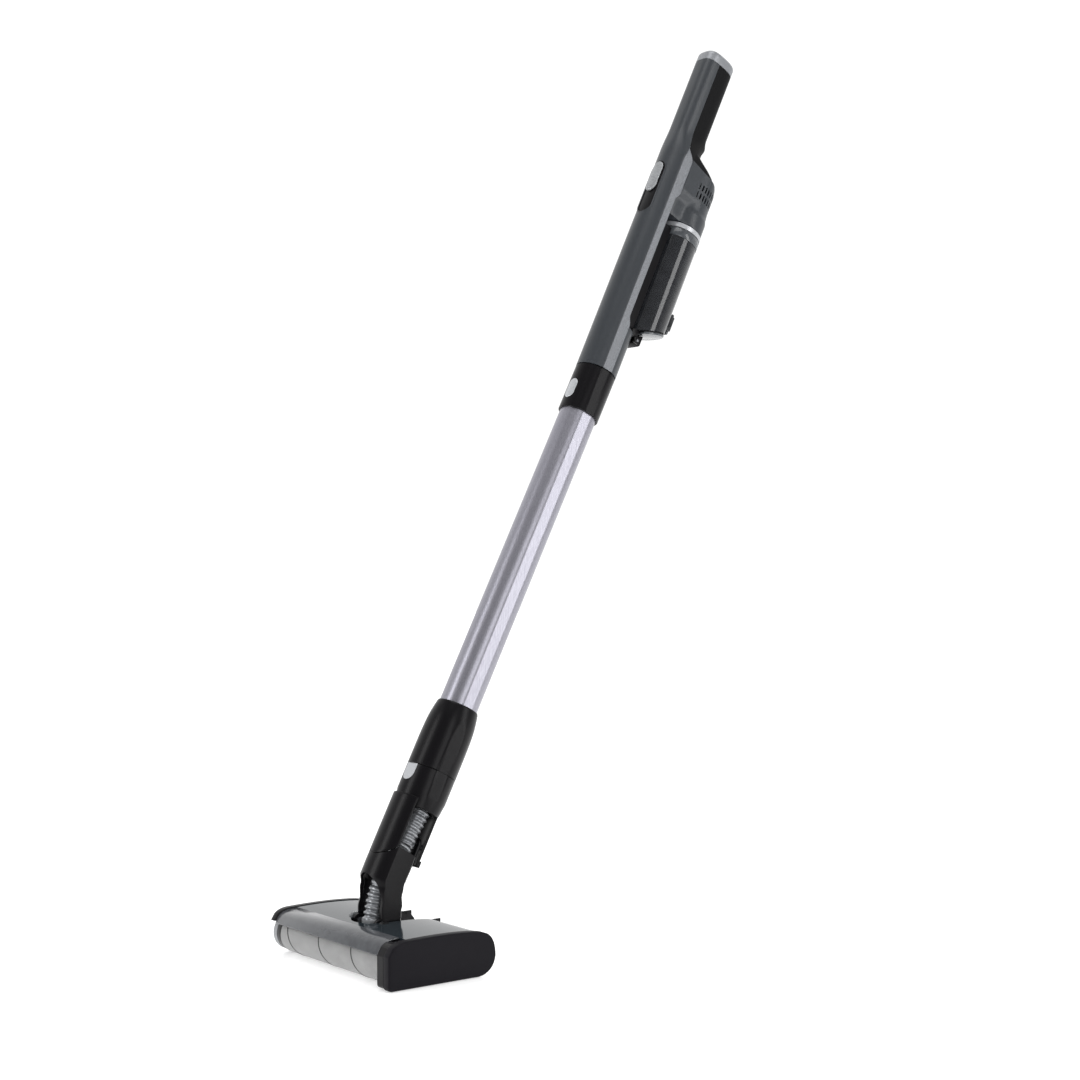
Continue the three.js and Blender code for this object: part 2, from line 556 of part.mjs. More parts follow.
// ---------------------------------------------------------------- wand
function buildWand(stick) {
  const bore = TUBE_RADIUS + GAP;
  addPart(stick, 'wand_tube', cut(
    cut(rodZ(TUBE_RADIUS, TUBE_LOW, TUBE_TOP, 0, 0, 28),
      ...flatCuts(TUBE_RADIUS - FLAT_DEPTH, TUBE_LOW, TUBE_TOP)),
    rodZ(TUBE_RADIUS - TUBE_WALL, TUBE_LOW - EPS, TUBE_TOP + EPS, 0, 0, 24)), SILVER);

  addPart(stick, 'wand_lower_cuff', cut(turned([
    [SPIGOT_RADIUS + GAP, NECK_SEAM + GAP], [BARREL_RADIUS + 0.1, NECK_SEAM + GAP],
    [BARREL_RADIUS + 0.1, 212], [28.4, 231], [27.4, 240], [26, 249], [24.2, LOWER_CUFF_TOP],
    [bore, LOWER_CUFF_TOP], [bore, TUBE_LOW - GAP], [SPIGOT_RADIUS + GAP, TUBE_LOW - GAP],
    [SPIGOT_RADIUS + GAP, NECK_SEAM + GAP]], 24),
  ...flatCuts(BARREL_RADIUS - 1.1, NECK_SEAM, LOWER_CUFF_TOP)), BLACK);

  const socket = NOZZLE_RADIUS + NOZZLE_PLAY;
  addPart(stick, 'wand_upper_cuff', cut(turned([
    [socket, TUBE_TOP + GAP], [bore, TUBE_TOP + GAP], [bore, UPPER_CUFF_LOW],
    [CUFF_RADIUS, UPPER_CUFF_LOW], [CUFF_RADIUS, HAND_SEAM - GAP], [socket, HAND_SEAM - GAP],
    [socket, TUBE_TOP + GAP]], 24),
  ...flatCuts(CUFF_RADIUS - FLAT_DEPTH, UPPER_CUFF_LOW, HAND_SEAM),
  prismY(slotOutline(7.6 + GAP, 652 - GAP, 678 + GAP), -40, -22, 10)), BLACK);

  // wiring duct along the tube, with the contact block of the handheld's plug at its top
  const wallFace = TUBE_RADIUS - TUBE_WALL;
  const contacts = [-4, 0, 4].map((x) => box(x - 0.8, x + 0.8, wallFace - 7.7, wallFace - 4.2, 664, 670));
  addPart(stick, 'wand_wire_channel', cut(join(
    box(-5, 5, wallFace - 7.1, wallFace - 1.9, TUBE_LOW - 6, TUBE_TOP + 11),
    box(-7, 7, wallFace - 9.2, wallFace - 2.5, TUBE_TOP + 10.3, HAND_SEAM - NOZZLE_DEPTH - RUN)),
  ...contacts), BLACK);
  addPart(stick, 'wand_release_button', common(
    prismY(slotOutline(7.6, 652, 678), -40, -24, 10),
    rodZ(CUFF_RADIUS + 0.8, 640, 690, 0, 0, 28)), SILVER_PAINT);
  addPart(stick, 'wand_button_spring', leafSpring(-22.1, 1.7, 665), STEEL);
}

// ---------------------------------------------------------------- handheld
const smooth = (t) => THREE.MathUtils.smoothstep(t, 0, 1);

// Outer form of the handheld's front: a round body that narrows into a rounded-rectangle handle.
// The sections stand at the ends, through the narrowing and at any further stations.
function bodyForm(inset, z0, z1, further = []) {
  const circle = new THREE.Shape();
  circle.absarc(0, 0, 1, 0, 2 * Math.PI);
  const narrowing = [0, 0.2, 0.4, 0.6, 0.8, 1]
    .map((share) => THREE.MathUtils.lerp(HOUSING_TOP, HANDLE_LOW, share));
  const stations = [z0, z1, ...narrowing.filter((z) => z > z0 && z < z1), ...further]
    .sort((a, b) => a - b);
  const steps = stations.length - 1;
  const geometry = extrude(circle, 1, 14, steps);
  const at = geometry.attributes.position;
  for (let i = 0; i < at.count; i += 1) {
    const z = stations[Math.round(at.getZ(i) * steps)];
    const share = smooth((z - HOUSING_TOP) / (HANDLE_LOW - HOUSING_TOP));
    const half = THREE.MathUtils.lerp(BODY_RADIUS, HANDLE_HALF, share) - inset;
    const front = THREE.MathUtils.lerp(BODY_RADIUS, HANDLE_FRONT, share) - inset;
    const back = THREE.MathUtils.lerp(BODY_RADIUS, HANDLE_BACK, share) - inset;
    const power = 2 / THREE.MathUtils.lerp(2, HANDLE_SQUARE, share);
    const [c, s] = [at.getX(i), at.getY(i)];
    at.setXYZ(i, Math.sign(c) * half * Math.abs(c) ** power,
      Math.sign(s) * (s < 0 ? front : back) * Math.abs(s) ** power, z);
  }
  return geometry;
}

// Line in (y, z) where the front shell meets the rear parts, and the regions on its two sides.
const seamLine = (offset) => [[SHELL_SEAM_Y + offset, HAND_SEAM - EPS], [SHELL_SEAM_Y + offset, 998],
  [GRIP_SEAM_Y + offset, 1028], [GRIP_SEAM_Y + offset, HANDLE_TOP + 20]];
const frontRegion = () => polygon([[-60, HAND_SEAM - EPS], ...seamLine(-0.15), [-60, HANDLE_TOP + 20]]);
const backRegion = () => polygon([[90, HAND_SEAM - EPS], ...seamLine(0.15), [90, HANDLE_TOP + 20]]);

const cupPlane = (y) => CUP_BOTTOM_AT_AXIS + CUP_SLOPE * y;

function buildBody(handheld) {
  const outer = cut(bodyForm(0, BODY_LOW, HANDLE_TOP),
    ...flatCuts(BODY_RADIUS - FLAT_DEPTH, HAND_SEAM, HOUSING_TOP + 4));
  const inner = bodyForm(WALL, HAND_SEAM - EPS, HANDLE_TOP + EPS);
  const shell = cut(outer, inner);
  const bezelHole = prismY(slotOutline(BEZEL_HALF + GAP, BEZEL_LOW - GAP, BEZEL_TOP + GAP), -60, 0, 10);
  addPart(handheld, 'body_front_shell', cut(common(shell, prismX(frontRegion(), -60, 60)),
    bezelHole), GRAPHITE);

  // rear shell: half tube below the cup, side walls above it, shelf, back plate and the saddle
  // behind the cup
  const back = common(shell, prismX(backRegion(), -60, 60));
  const halfTube = common(back, box(-60, 60, -60, 60, HAND_SEAM - EPS, SHELF_Z));
  const sides = common(back, box(-60, 60, -60, BODY_BACK, SHELF_Z - 1, HOUSING_TOP));
  const shelf = common(outer, box(-60, 60, 0.15, BODY_RADIUS, SHELF_Z - 3, SHELF_Z));
  const plate = box(-24, 24, 0.15, BODY_BACK, SHELF_Z - 2, HOUSING_TOP - 4);
  const saddle = cut(box(-14, 14, BODY_BACK - 1, CUP_Y - 15, SHELF_Z - 1, CUP_TOP - 6),
    rodZ(CUP_RADIUS + RUN, 700, 1000, 0, CUP_Y, 24));
  const inletHole = rodY(DUCT_RADIUS + GAP, -5, 30, 0, INLET_Z, 20);
  const ductWell = rodZ(DUCT_RADIUS + GAP, SHELF_Z - 8, SHELF_Z + EPS, 0, DUCT_Y, 20);
  const contactHole = box(-6.3, 6.3, 10, 40, 726.7, 739.3);
  addPart(handheld, 'body_rear_shell', cut(join(halfTube, sides, shelf, plate, saddle), inletHole,
    ductWell, contactHole), GRAPHITE);

  // suction duct: nozzle, a bend to the front of the body and the branch into the cup
  const bend = (grow, z0, z1) => sweep([[0, z0], [0, 716], [DUCT_Y, 742], [DUCT_Y, z1]],
    DUCT_RADIUS + grow, 7, 6);
  addPart(handheld, 'suction_duct', cut(
    join(rodZ(NOZZLE_RADIUS, HAND_SEAM - NOZZLE_DEPTH, 712, 0, 0, 28), bend(0, 706, INLET_Z + 8),
      rodY(DUCT_RADIUS, DUCT_Y, 22, 0, INLET_Z, 18)),
    rodZ(NOZZLE_RADIUS - 2, HAND_SEAM - NOZZLE_DEPTH - EPS, 710, 0, 0, 24),
    bend(-1.6, 708, INLET_Z + 6),
    rodY(DUCT_RADIUS - 1.6, DUCT_Y, 40, 0, INLET_Z, 16),
    rodZ(CUP_RADIUS + GAP, 700, 900, 0, CUP_Y, 28)), BLACK);

  // charging contacts in the back of the lower body
  addPart(handheld, 'charging_contacts', join(box(-6, 6, 15, 23.6, 727, 739),
    box(-4, -1.5, 23, 24.4, 729, 737), box(1.5, 4, 23, 24.4, 729, 737)), BLACK);

  // four cells beside the board, and the board itself
  let cell = 1;
  for (const z of [CELL_LOW, CELL_LOW + CELL_LENGTH + 1.5]) {
    for (const x of [-CELL_RADIUS - 0.2, CELL_RADIUS + 0.2]) {
      addPart(handheld, `battery_cell_${cell}`,
        rodZ(CELL_RADIUS, z + 1, z + CELL_LENGTH, x, CELL_Y, 16), CELL_WRAP);
      cell += 1;
    }
  }
  addPart(handheld, 'control_board', join(box(-17, 17, -8, -6.4, 946, 996),
    box(-10, -2, -6.6, -3.5, 955, 968), box(3, 14, -6.6, -2.5, 975, 990)), BOARD);
}

function buildSwitch(handheld) {
  const bezel = common(prismY(slotOutline(BEZEL_HALF, BEZEL_LOW, BEZEL_TOP), -40, -20.6, 10),
    rodZ(BODY_RADIUS + 0.9, 900, 1000, 0, 0, 24));
  const track = prismY(slotOutline(SWITCH_HALF + 0.6, BEZEL_LOW + 2, BEZEL_TOP - 1.2), -40, -23.4, 10);
  const stemSlot = box(-2.2, 2.2, -30, -18, 936, 978);
  addPart(handheld, 'switch_bezel', cut(bezel, track, stemSlot), BLACK);
  addPart(handheld, 'power_switch', join(common(
    prismY(slotOutline(SWITCH_HALF, SWITCH_LOW, SWITCH_TOP), -40, -23.9, 10),
    rodZ(BODY_RADIUS + 1.7, 900, 1000, 0, 0, 24)),
  box(-1.6, 1.6, -24.4, -17.5, 962, 974)), SILVER_PAINT);
}

function buildHandle(handheld) {
  const outer = bodyForm(0, HOUSING_TOP - 6, HANDLE_TOP);
  const inner = bodyForm(WALL, HOUSING_TOP - 8, HANDLE_TOP + EPS);
  const bump = common(rodX(7, -9, 9, HANDLE_BACK - 5.2, 1036, 20), box(-20, 20, 15, 60, 1000, 1060));
  const above = box(-60, 60, -60, 90, HOUSING_TOP + GAP, HANDLE_TOP + 20);
  const grip = common(common(join(outer, bump), prismX(backRegion(), -60, 60)), above);
  const capSide = new THREE.Shape();
  capSide.moveTo(2.6, HOUSING_TOP + GAP);
  capSide.lineTo(HOUSING_Y + HOUSING_RADIUS + 1, HOUSING_TOP + GAP);
  capSide.quadraticCurveTo(HOUSING_Y + HOUSING_RADIUS - 1, 1008, HOUSING_Y + 14, 1010.5);
  capSide.quadraticCurveTo(30, 1015, 21, 1020);
  capSide.lineTo(2.6, 1020);
  const dome = common(prismX(capSide, -60, 60, 8),
    prismZ(housingOutline(HOUSING_RADIUS, 2.6, HOUSING_Y), 990, 1030, 24));
  const hollow = prismZ(housingOutline(HOUSING_RADIUS - WALL, 5, HOUSING_Y), 990, HOUSING_TOP + 4, 20);
  const clearance = cut(box(-60, 60, -60, 3.2, HOUSING_TOP - 8, 1024), outer);
  addPart(handheld, 'handle_grip', cut(join(grip, cut(dome, clearance)), inner, hollow), BLACK);

  const round = 6;
  const cap = bodyForm(0, HANDLE_TOP + GAP, END_CAP_TOP,
    [1, 0.6, 0.25].map((share) => END_CAP_TOP - share * round));
  const at = cap.attributes.position;
  for (let i = 0; i < at.count; i += 1) {
    const over = Math.max(0, at.getZ(i) - (END_CAP_TOP - round)) / round;
    const shrink = 1 - 0.28 * (1 - Math.sqrt(1 - over * over));
    at.setX(i, at.getX(i) * shrink);
    at.setY(i, at.getY(i) * shrink);
  }
  addPart(handheld, 'handle_end_cap', cut(cap,
    bodyForm(3, HANDLE_TOP - EPS, HANDLE_TOP + 7)), SILVER_PAINT);
}

function buildMotorHousing(handheld) {
  const low = CUP_TOP + RING_HEIGHT + 2 * GAP;
  const outer = join(
    prismZ(housingOutline(HOUSING_RADIUS, BODY_BACK + GAP, HOUSING_Y), SHOULDER_Z, HOUSING_TOP, 20),
    turned([[0, low], [CUP_RADIUS, low], [CUP_RADIUS, low + 12], [CUP_RADIUS - 1.4, SHOULDER_Z - 4],
      [HOUSING_RADIUS - 0.4, SHOULDER_Z + 2], [0, SHOULDER_Z + 2]], 26).translate(0, CUP_Y, 0),
    box(-21, 21, BODY_BACK + GAP, CUP_Y, low, SHOULDER_Z + 1));
  const inner = join(
    prismZ(housingOutline(HOUSING_RADIUS - WALL, BODY_BACK + GAP + WALL, HOUSING_Y),
      SHOULDER_Z + WALL, HOUSING_TOP + EPS, 18),
    rodZ(HOUSING_RADIUS - WALL, low - EPS, SHOULDER_Z + 6, 0, HOUSING_Y, 26));
  const slots = [];
  for (const z of [967.6, 979.4]) {
    for (let k = 0; k < 7; k += 1) {
      const angle = radians(-38 + k * 12);
      for (const side of [1, -1]) {
        slots.push(box(HOUSING_RADIUS - 6, HOUSING_RADIUS + 4, -1.1, 1.1, z, z + 8.4)
          .rotateZ(angle).scale(side, 1, 1).translate(0, HOUSING_Y, 0));
      }
    }
  }
  addPart(handheld, 'motor_housing', cut(outer, inner, ...slots), GRAPHITE);
  addPart(handheld, 'motor_mount_ring', ringZ(HOUSING_RADIUS - WALL - GAP, 13, 963, 966, HOUSING_Y, 28), BLACK);
  addPart(handheld, 'fan_motor', cut(rodZ(17, 966.3, 992, 0, HOUSING_Y, 28),
    rodZ(2.4, 960, 985, 0, HOUSING_Y, 12)), STEEL);
  const blades = [];
  for (let k = 0; k < 9; k += 1) {
    blades.push(box(4, 18.5, -0.7, 0.7, 950, 958).rotateZ(2 * Math.PI * k / 9).translate(0, HOUSING_Y, 0));
  }
  addPart(handheld, 'impeller', join(rodZ(19, 957, 959, 0, HOUSING_Y, 28), rodZ(5, 948, 958, 0, HOUSING_Y, 16),
    rodZ(2, 957, 982, 0, HOUSING_Y, 10), ...blades), PALE_GREY);
}

function buildDustCup(handheld) {
  const plane = (gap, depth) => polygon([[CUP_Y - 60, cupPlane(CUP_Y - 60) - gap - depth],
    [CUP_Y + 60, cupPlane(CUP_Y + 60) - gap - depth], [CUP_Y + 60, cupPlane(CUP_Y + 60) - gap],
    [CUP_Y - 60, cupPlane(CUP_Y - 60) - gap]]);
  const below = prismX(plane(0, 200), -60, 60);
  const wall = cut(ringZ(CUP_RADIUS, CUP_RADIUS - CUP_WALL, 740, CUP_TOP, CUP_Y, 26), below);
  // the front of the bottom is fixed and carries the two ears that the door hangs from
  const fixedFloor = common(prismX(polygon([[14, DOOR_EDGE_LOW], [DOOR_EDGE_Y - 1, DOOR_EDGE_LOW],
    [DOOR_EDGE_Y, 768], [DOOR_EDGE_Y, cupPlane(DOOR_EDGE_Y) + 2], [14, cupPlane(14) + 2]]), -40, 40),
  rodZ(CUP_RADIUS, 700, 900, 0, CUP_Y, 30));
  const ears = [[-14, -10.3], [10.3, 14]].map(([x0, x1]) => cut(
    prismX(polygon([[26, DOOR_EDGE_LOW], [27.5, HINGE_Z - 3.6], [HINGE_Y + 3.4, HINGE_Z - 3.6],
      [HINGE_Y + 3.4, HINGE_Z + 3], [28.4, HINGE_Z + 4.6], [28.4, 775], [26, 775]]), x0, x1),
    rodX(1.5 + 0.25, -20, 20, HINGE_Y, HINGE_Z, 10)));
  const catchPads = [[-9, -6.4], [6.4, 9]].map(([x0, x1]) => cut(
    box(x0, x1, CUP_Y + CUP_RADIUS - 3.5, CUP_Y + CUP_RADIUS + 6, 800, 822),
    rodZ(CUP_RADIUS - 1, 700, 900, 0, CUP_Y, 28),
    rodX(1.6, -20, 20, CUP_Y + CUP_RADIUS + 4, 812, 10)));
  addPart(handheld, 'dust_cup_wall', cut(join(wall, fixedFloor, ...ears, ...catchPads),
    rodY(DUCT_RADIUS - 1, 0, CUP_Y, 0, INLET_Z, 20)), SMOKE);
  addPart(handheld, 'cup_collar', ringZ(CUP_RADIUS + 0.4, CUP_RADIUS - 4, CUP_TOP + GAP,
    CUP_TOP + RING_HEIGHT, CUP_Y, 26), SILVER_PAINT);
  addPart(handheld, 'filter_shroud', turned([[0, 832], [17, 832], [18, 834], [18, 906], [22, 912],
    [22, CUP_TOP - 0.5], [16, CUP_TOP - 0.5], [16, 836], [0, 836]], 24).translate(0, CUP_Y, 0), BLACK);
  const pleats = new THREE.Shape();
  const folds = 22;
  for (let k = 0; k < 2 * folds; k += 1) {
    const angle = Math.PI * k / folds;
    const r = k % 2 ? 15.4 : 11.5;
    const point = [r * Math.cos(angle), r * Math.sin(angle)];
    if (k === 0) pleats.moveTo(...point); else pleats.lineTo(...point);
  }
  const bore = new THREE.Path();
  bore.absarc(0, 0, 9, 0, 2 * Math.PI, true);
  pleats.holes.push(bore);
  addPart(handheld, 'pleated_filter', prismZ(pleats, 842, CUP_TOP - 2, 10).translate(0, CUP_Y, 0), FILTER);
  addPart(handheld, 'door_hinge_pin', rodX(1.5, -14.5, 14.5, HINGE_Y, HINGE_Z, 10), STEEL);

  // slanting bottom door with its hinge block, its seal and the latch at the back
  const behind = (y, radius) => common(rodZ(radius, 700, 900, 0, CUP_Y, 28),
    box(-40, 40, y, 90, 690, 910));
  addPart(handheld, 'door_seal', cut(common(behind(DOOR_EDGE_Y + 2.6, CUP_RADIUS - 0.6),
    prismX(plane(0.4, 1.5), -60, 60)), behind(DOOR_EDGE_Y + 6.5, CUP_RADIUS - 5)), RUBBER);
  const plate = common(behind(DOOR_EDGE_Y + 2.2, CUP_RADIUS + 0.3), prismX(plane(2.2, 5.5), -60, 60));
  const blockTop = DOOR_EDGE_Y + 2.4;
  const blockBack = Math.max(HINGE_Y + 9.5, CUP_Y - CUP_RADIUS + 4);
  const hingeBlock = join(rodX(3.2, -9.7, 9.7, HINGE_Y, HINGE_Z, 16), prismX(polygon([
    [HINGE_Y, HINGE_Z - 3.2], [blockBack - 2.5, HINGE_Z - 4], [blockBack, HINGE_Z - 1],
    [blockBack, cupPlane(blockBack) - 3.5], [blockTop, cupPlane(blockTop) - 3.5],
    [HINGE_Y - 1.6, HINGE_Z + 2.8]]), -9.7, 9.7));
  const back = CUP_Y + CUP_RADIUS;
  const [lipFront, lipBack] = [back - 2.5, back + 1.7];
  const lip = prismX(polygon([[lipFront, cupPlane(lipFront) - 7.5], [lipBack, cupPlane(lipBack) - 7.5],
    [lipBack, cupPlane(lipBack) - 3], [lipFront, cupPlane(lipFront) - 3]]), -6, 6);
  addPart(handheld, 'cup_door', cut(join(plate, hingeBlock, lip),
    rodX(1.5 + 0.25, -20, 20, HINGE_Y, HINGE_Z, 10)), BLACK);

  addPart(handheld, 'door_latch', join(
    prismX(polygon([[back + 3.9, 797], [back + 6.8, 798], [back + 7.5, 812], [back + 6.6, 826],
      [back + 2.6, 826], [back + 1.4, 812], [back + 3.9, 804]]), -6, 6),
    rodX(1.3, -9, 9, back + 4, 812, 10)), BLACK);
}

// ---------------------------------------------------------------- assembly
const upright = new THREE.Group();
const head = new THREE.Group();
const stick = new THREE.Group();
const handheldTurn = new THREE.Group();
const handheld = new THREE.Group();
stick.position.set(0, PIVOT_Y, PIVOT_Z);
stick.rotation.x = -radians(LEAN);
handheldTurn.position.z = HAND_SEAM;
handheldTurn.rotation.x = radians(HANDHELD_TILT);
handheld.position.z = -HAND_SEAM;
handheldTurn.add(handheld);
stick.add(handheldTurn);
upright.add(head, stick);

buildHead(head);
buildYoke(stick);
buildNeck(stick);
buildWand(stick);
buildBody(handheld);
buildSwitch(handheld);
buildHandle(handheld);
buildMotorHousing(handheld);
buildDustCup(handheld);

// the origin of the model is the middle of the hand grip
upright.updateMatrixWorld(true);
const gripMiddle = handheld.localToWorld(new THREE.Vector3(0, 0, GRIP_CENTRE));
upright.position.copy(gripMiddle).negate();

const vacuum = new THREE.Group();
vacuum.add(upright);
vacuum.updateMatrixWorld(true);
export default vacuum;
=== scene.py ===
import math

import bmesh
import bpy
from mathutils import Matrix, Vector


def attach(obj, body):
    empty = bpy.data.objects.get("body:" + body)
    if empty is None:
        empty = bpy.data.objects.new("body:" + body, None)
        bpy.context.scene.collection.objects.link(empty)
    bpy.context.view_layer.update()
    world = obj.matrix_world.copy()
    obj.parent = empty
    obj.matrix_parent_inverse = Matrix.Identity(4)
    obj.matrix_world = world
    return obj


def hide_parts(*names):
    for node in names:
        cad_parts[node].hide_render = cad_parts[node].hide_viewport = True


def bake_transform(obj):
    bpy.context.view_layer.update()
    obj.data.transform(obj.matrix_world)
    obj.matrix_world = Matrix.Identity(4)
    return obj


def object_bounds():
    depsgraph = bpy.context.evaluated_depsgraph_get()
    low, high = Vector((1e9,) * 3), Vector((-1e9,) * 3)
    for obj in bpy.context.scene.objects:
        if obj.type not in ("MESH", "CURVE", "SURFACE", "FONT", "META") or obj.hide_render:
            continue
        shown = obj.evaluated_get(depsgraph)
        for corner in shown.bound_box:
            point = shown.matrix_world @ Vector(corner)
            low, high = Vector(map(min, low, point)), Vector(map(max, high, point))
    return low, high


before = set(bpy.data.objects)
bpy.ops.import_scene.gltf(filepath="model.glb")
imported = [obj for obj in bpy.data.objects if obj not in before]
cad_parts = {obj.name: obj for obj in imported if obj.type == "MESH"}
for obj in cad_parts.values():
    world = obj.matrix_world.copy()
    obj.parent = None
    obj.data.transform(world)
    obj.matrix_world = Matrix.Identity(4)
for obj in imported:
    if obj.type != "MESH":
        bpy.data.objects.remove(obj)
cad_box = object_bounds()

# ------------------------------------------------------------------ frames and sizes
# Shapes are drawn in millimetres in the frame of the assembly they belong to, then placed.
MM = 0.001
LEAN = math.radians(27.3)  # of the stick, back from upright
TILT = math.radians(1.3)  # of the handheld, forward of the wand
GRIP_Y, GRIP_Z = 480.211, 1022.056  # the frame's origin, from the middle of the head on the floor
HINGE_Y, HINGE_Z = -14, 45  # the head's pitch hinge, where the stick's stations start
HAND_SEAM = 700  # station at which the handheld stands on the wand
HEAD = Matrix.Scale(MM, 4) @ Matrix.Translation((0, -GRIP_Y, -GRIP_Z))
STICK = HEAD @ Matrix.Translation((0, HINGE_Y, HINGE_Z)) @ Matrix.Rotation(-LEAN, 4, "X")
HANDHELD = (STICK @ Matrix.Translation((0, 0, HAND_SEAM)) @ Matrix.Rotation(TILT, 4, "X")
            @ Matrix.Translation((0, 0, -HAND_SEAM)))
PLACES = {"head": HEAD, "stick": STICK, "handheld": HANDHELD}

BODY_RADIUS = 25.2
SEAM_Y = -8.7  # joint between the front shell and the parts behind it, beside the cup
GRIP_SEAM_Y = -4.6  # the same joint beside the grip
JOINT = 0.25  # width of a joint line between two housings
FLAT_DISTANCE = 24.3  # of the side flats from the axis
FLAT_TURN = math.radians(6.5)  # how far the side flats face forward
GRIP_HALF, GRIP_FRONT, GRIP_BACK = 17.2, 23.3, 24.4
GRIP_LOW = 1001  # station where the body starts to narrow into the grip
GRIP_TOP = 1146.5
SHELF = 764.4  # station of the shelf below the cup
CUP_Y = 42.5
CUP_RADIUS = 27
CUP_SLANT = Vector((0, 0.44, -1)).normalized()  # faces out of the cup's slanting bottom
HOUSING_Y = 42.2
TUBE_RADIUS = 22.5
NECK_FLAT = 27.5  # distance of the neck's side flats from the axis
SWIVEL = 98  # station of the swivel's axis
YOKE_HALF = 24.5
HEAD_FRONT = -68
HEAD_BACK = 68
CAP_OUT = 122.5  # outer faces of the head's end caps
ROLLER_Y = -43.5
ROLLER_Z = 21.8
ROLLER_RADIUS = 21.5
ROLLER_AXIS = (0, ROLLER_Y, ROLLER_Z)
SIDES = ((1, "right"), (-1, "left"))


# ------------------------------------------------------------------ materials
PER_MM = 1000  # pattern scale that repeats once in a millimetre


def linear(code):
    """An sRGB hex colour as linear RGBA."""
    parts = [int(code[i:i + 2], 16) / 255 for i in (1, 3, 5)]
    return [c / 12.92 if c <= 0.04045 else ((c + 0.055) / 1.055) ** 2.4 for c in parts] + [1]


def node(tree, kind, settings=None, **links):
    """Adds a node. Settings are attributes or input values, links are input names to sockets."""
    made = tree.nodes.new(kind)
    for key, value in (settings or {}).items():
        if hasattr(made, key):
            setattr(made, key, value)
        else:
            made.inputs[key].default_value = value
    for key, socket in links.items():
        tree.links.new(socket, made.inputs[key.replace("_", " ")])
    return made


def material(name, **shader):
    """A material with its principled shader, and the object coordinates its patterns read."""
    made = bpy.data.materials.new(name)
    made.use_nodes = True
    tree = made.node_tree
    principled = tree.nodes["Principled BSDF"]
    for key, value in shader.items():
        principled.inputs[key.replace("_", " ")].default_value = value
    place = node(tree, "ShaderNodeTexCoord").outputs["Object"]
    return made, tree, principled, place


def relief(tree, principled, pattern, strength, height_mm):
    """Raises a pattern as a bump of a height in millimetres."""
    bump = node(tree, "ShaderNodeBump", {"Strength": strength, "Distance": height_mm * MM},
                Height=pattern.outputs["Fac"])
    tree.links.new(bump.outputs["Normal"], principled.inputs["Normal"])


def uneven_gloss(tree, principled, pattern, low, high):
    """Lets the roughness follow a pattern."""
    gloss = node(tree, "ShaderNodeMapRange", {"To Min": low, "To Max": high}, Value=pattern.outputs["Fac"])
    tree.links.new(gloss.outputs["Result"], principled.inputs["Roughness"])


def grain(tree, principled, place, size_mm, depth, roughness, spread):
    """Fine moulded grain: bump and a small change of gloss. size_mm is the width of one grain."""
    noise = node(tree, "ShaderNodeTexNoise", {"Scale": PER_MM / size_mm, "Detail": 3.0}, Vector=place)
    relief(tree, principled, noise, depth, 0.2)
    uneven_gloss(tree, principled, noise, roughness - spread, roughness + spread)
    return noise


def speckle(tree, principled, noise, dark, light, low=0.35, high=0.65):
    """Colour that wanders between two tones with the grain."""
    ramp = node(tree, "ShaderNodeValToRGB", {}, Fac=noise.outputs["Fac"])
    ramp.color_ramp.elements[0].position = low
    ramp.color_ramp.elements[0].color = linear(dark)
    ramp.color_ramp.elements[1].position = high
    ramp.color_ramp.elements[1].color = linear(light)
    tree.links.new(ramp.outputs["Color"], principled.inputs["Base Color"])


def moulded(name, dark, light, grain_mm, depth, roughness, spread=0.04, **shader):
    """A moulded, cast or painted surface: grained, and wandering between two tones."""
    made, tree, principled, place = material(name, IOR=1.5, **shader)
    noise = grain(tree, principled, place, grain_mm, depth, roughness, spread)
    speckle(tree, principled, noise, dark, light)
    return made


# satin graphite ABS: its fine spark texture gives soft wide highlights
graphite = moulded("satin graphite ABS", "#25282c", "#303439", 0.6, 0.14, 0.36, Specular_IOR_Level=0.45)
# painted with mica, which shows as light flecks; they are drawn coarser than they are, to show. The grey
# under the flecks is drawn lighter than the graphite shell as painted light, standing in for the light the
# side flats catch from the right
strip_grey_painted_light = moulded("mica grey side strip with painted light", "#56585c", "#777a7f", 0.9, 0.2, 0.42)
# black ABS from a smooth mould: deep black with a narrow grey highlight
black_abs = moulded("satin black ABS", "#09080a", "#0e0d10", 0.5, 0.08, 0.3, Specular_IOR_Level=0.14)
# soft touch coating: a leather-like grain with almost no gloss
black_soft = moulded("soft touch black grip", "#080809", "#0d0d0f", 0.7, 0.25, 0.5, Specular_IOR_Level=0.1)
# spark-eroded mould: flat black with a violet cast and no highlight
matt_black = moulded("matt black polypropylene", "#0c0b10", "#121016", 0.8, 0.2, 0.5,
                     Specular_IOR_Level=0.11)
# paint with fine aluminium flake: bright, with a blurred sheen
silver_paint = moulded("silver painted ABS", "#a5a7ab", "#b9bbbe", 0.5, 0.06, 0.3, Metallic=0.35)
# the same paint in a darker grey, on the end of the grip
cap_silver = moulded("grey silver painted ABS", "#7c7e82", "#8b8d91", 0.5, 0.06, 0.33, Metallic=0.35)
# moulded without paint: even and slightly waxy
pale_grey = moulded("pale grey polypropylene", "#85878a", "#939598", 0.6, 0.15, 0.42)
# moulded rubber: matt, with dusty flecks
rubber = moulded("black rubber", "#0d0d0e", "#151517", 0.8, 0.4, 0.75, Specular_IOR_Level=0.3)
# turned and ground: a sharp glint along each edge
steel = moulded("ground steel", "#8c8e92", "#9c9ea2", 0.4, 0.1, 0.3, Metallic=1.0)
# folded fibre sheet: soft, pale and without gloss
paper = moulded("pleated filter paper", "#bdbab2", "#cfccc4", 0.7, 0.4, 0.9)
# shrunk plastic film: a clean colour with a smooth sheen
wrap = moulded("battery cell wrap", "#2a6a80", "#31748b", 0.5, 0.05, 0.4)
# lacquered glass fibre laminate: green with a satin gloss
board = moulded("green circuit board", "#184e32", "#1f5f3d", 0.9, 0.1, 0.5)
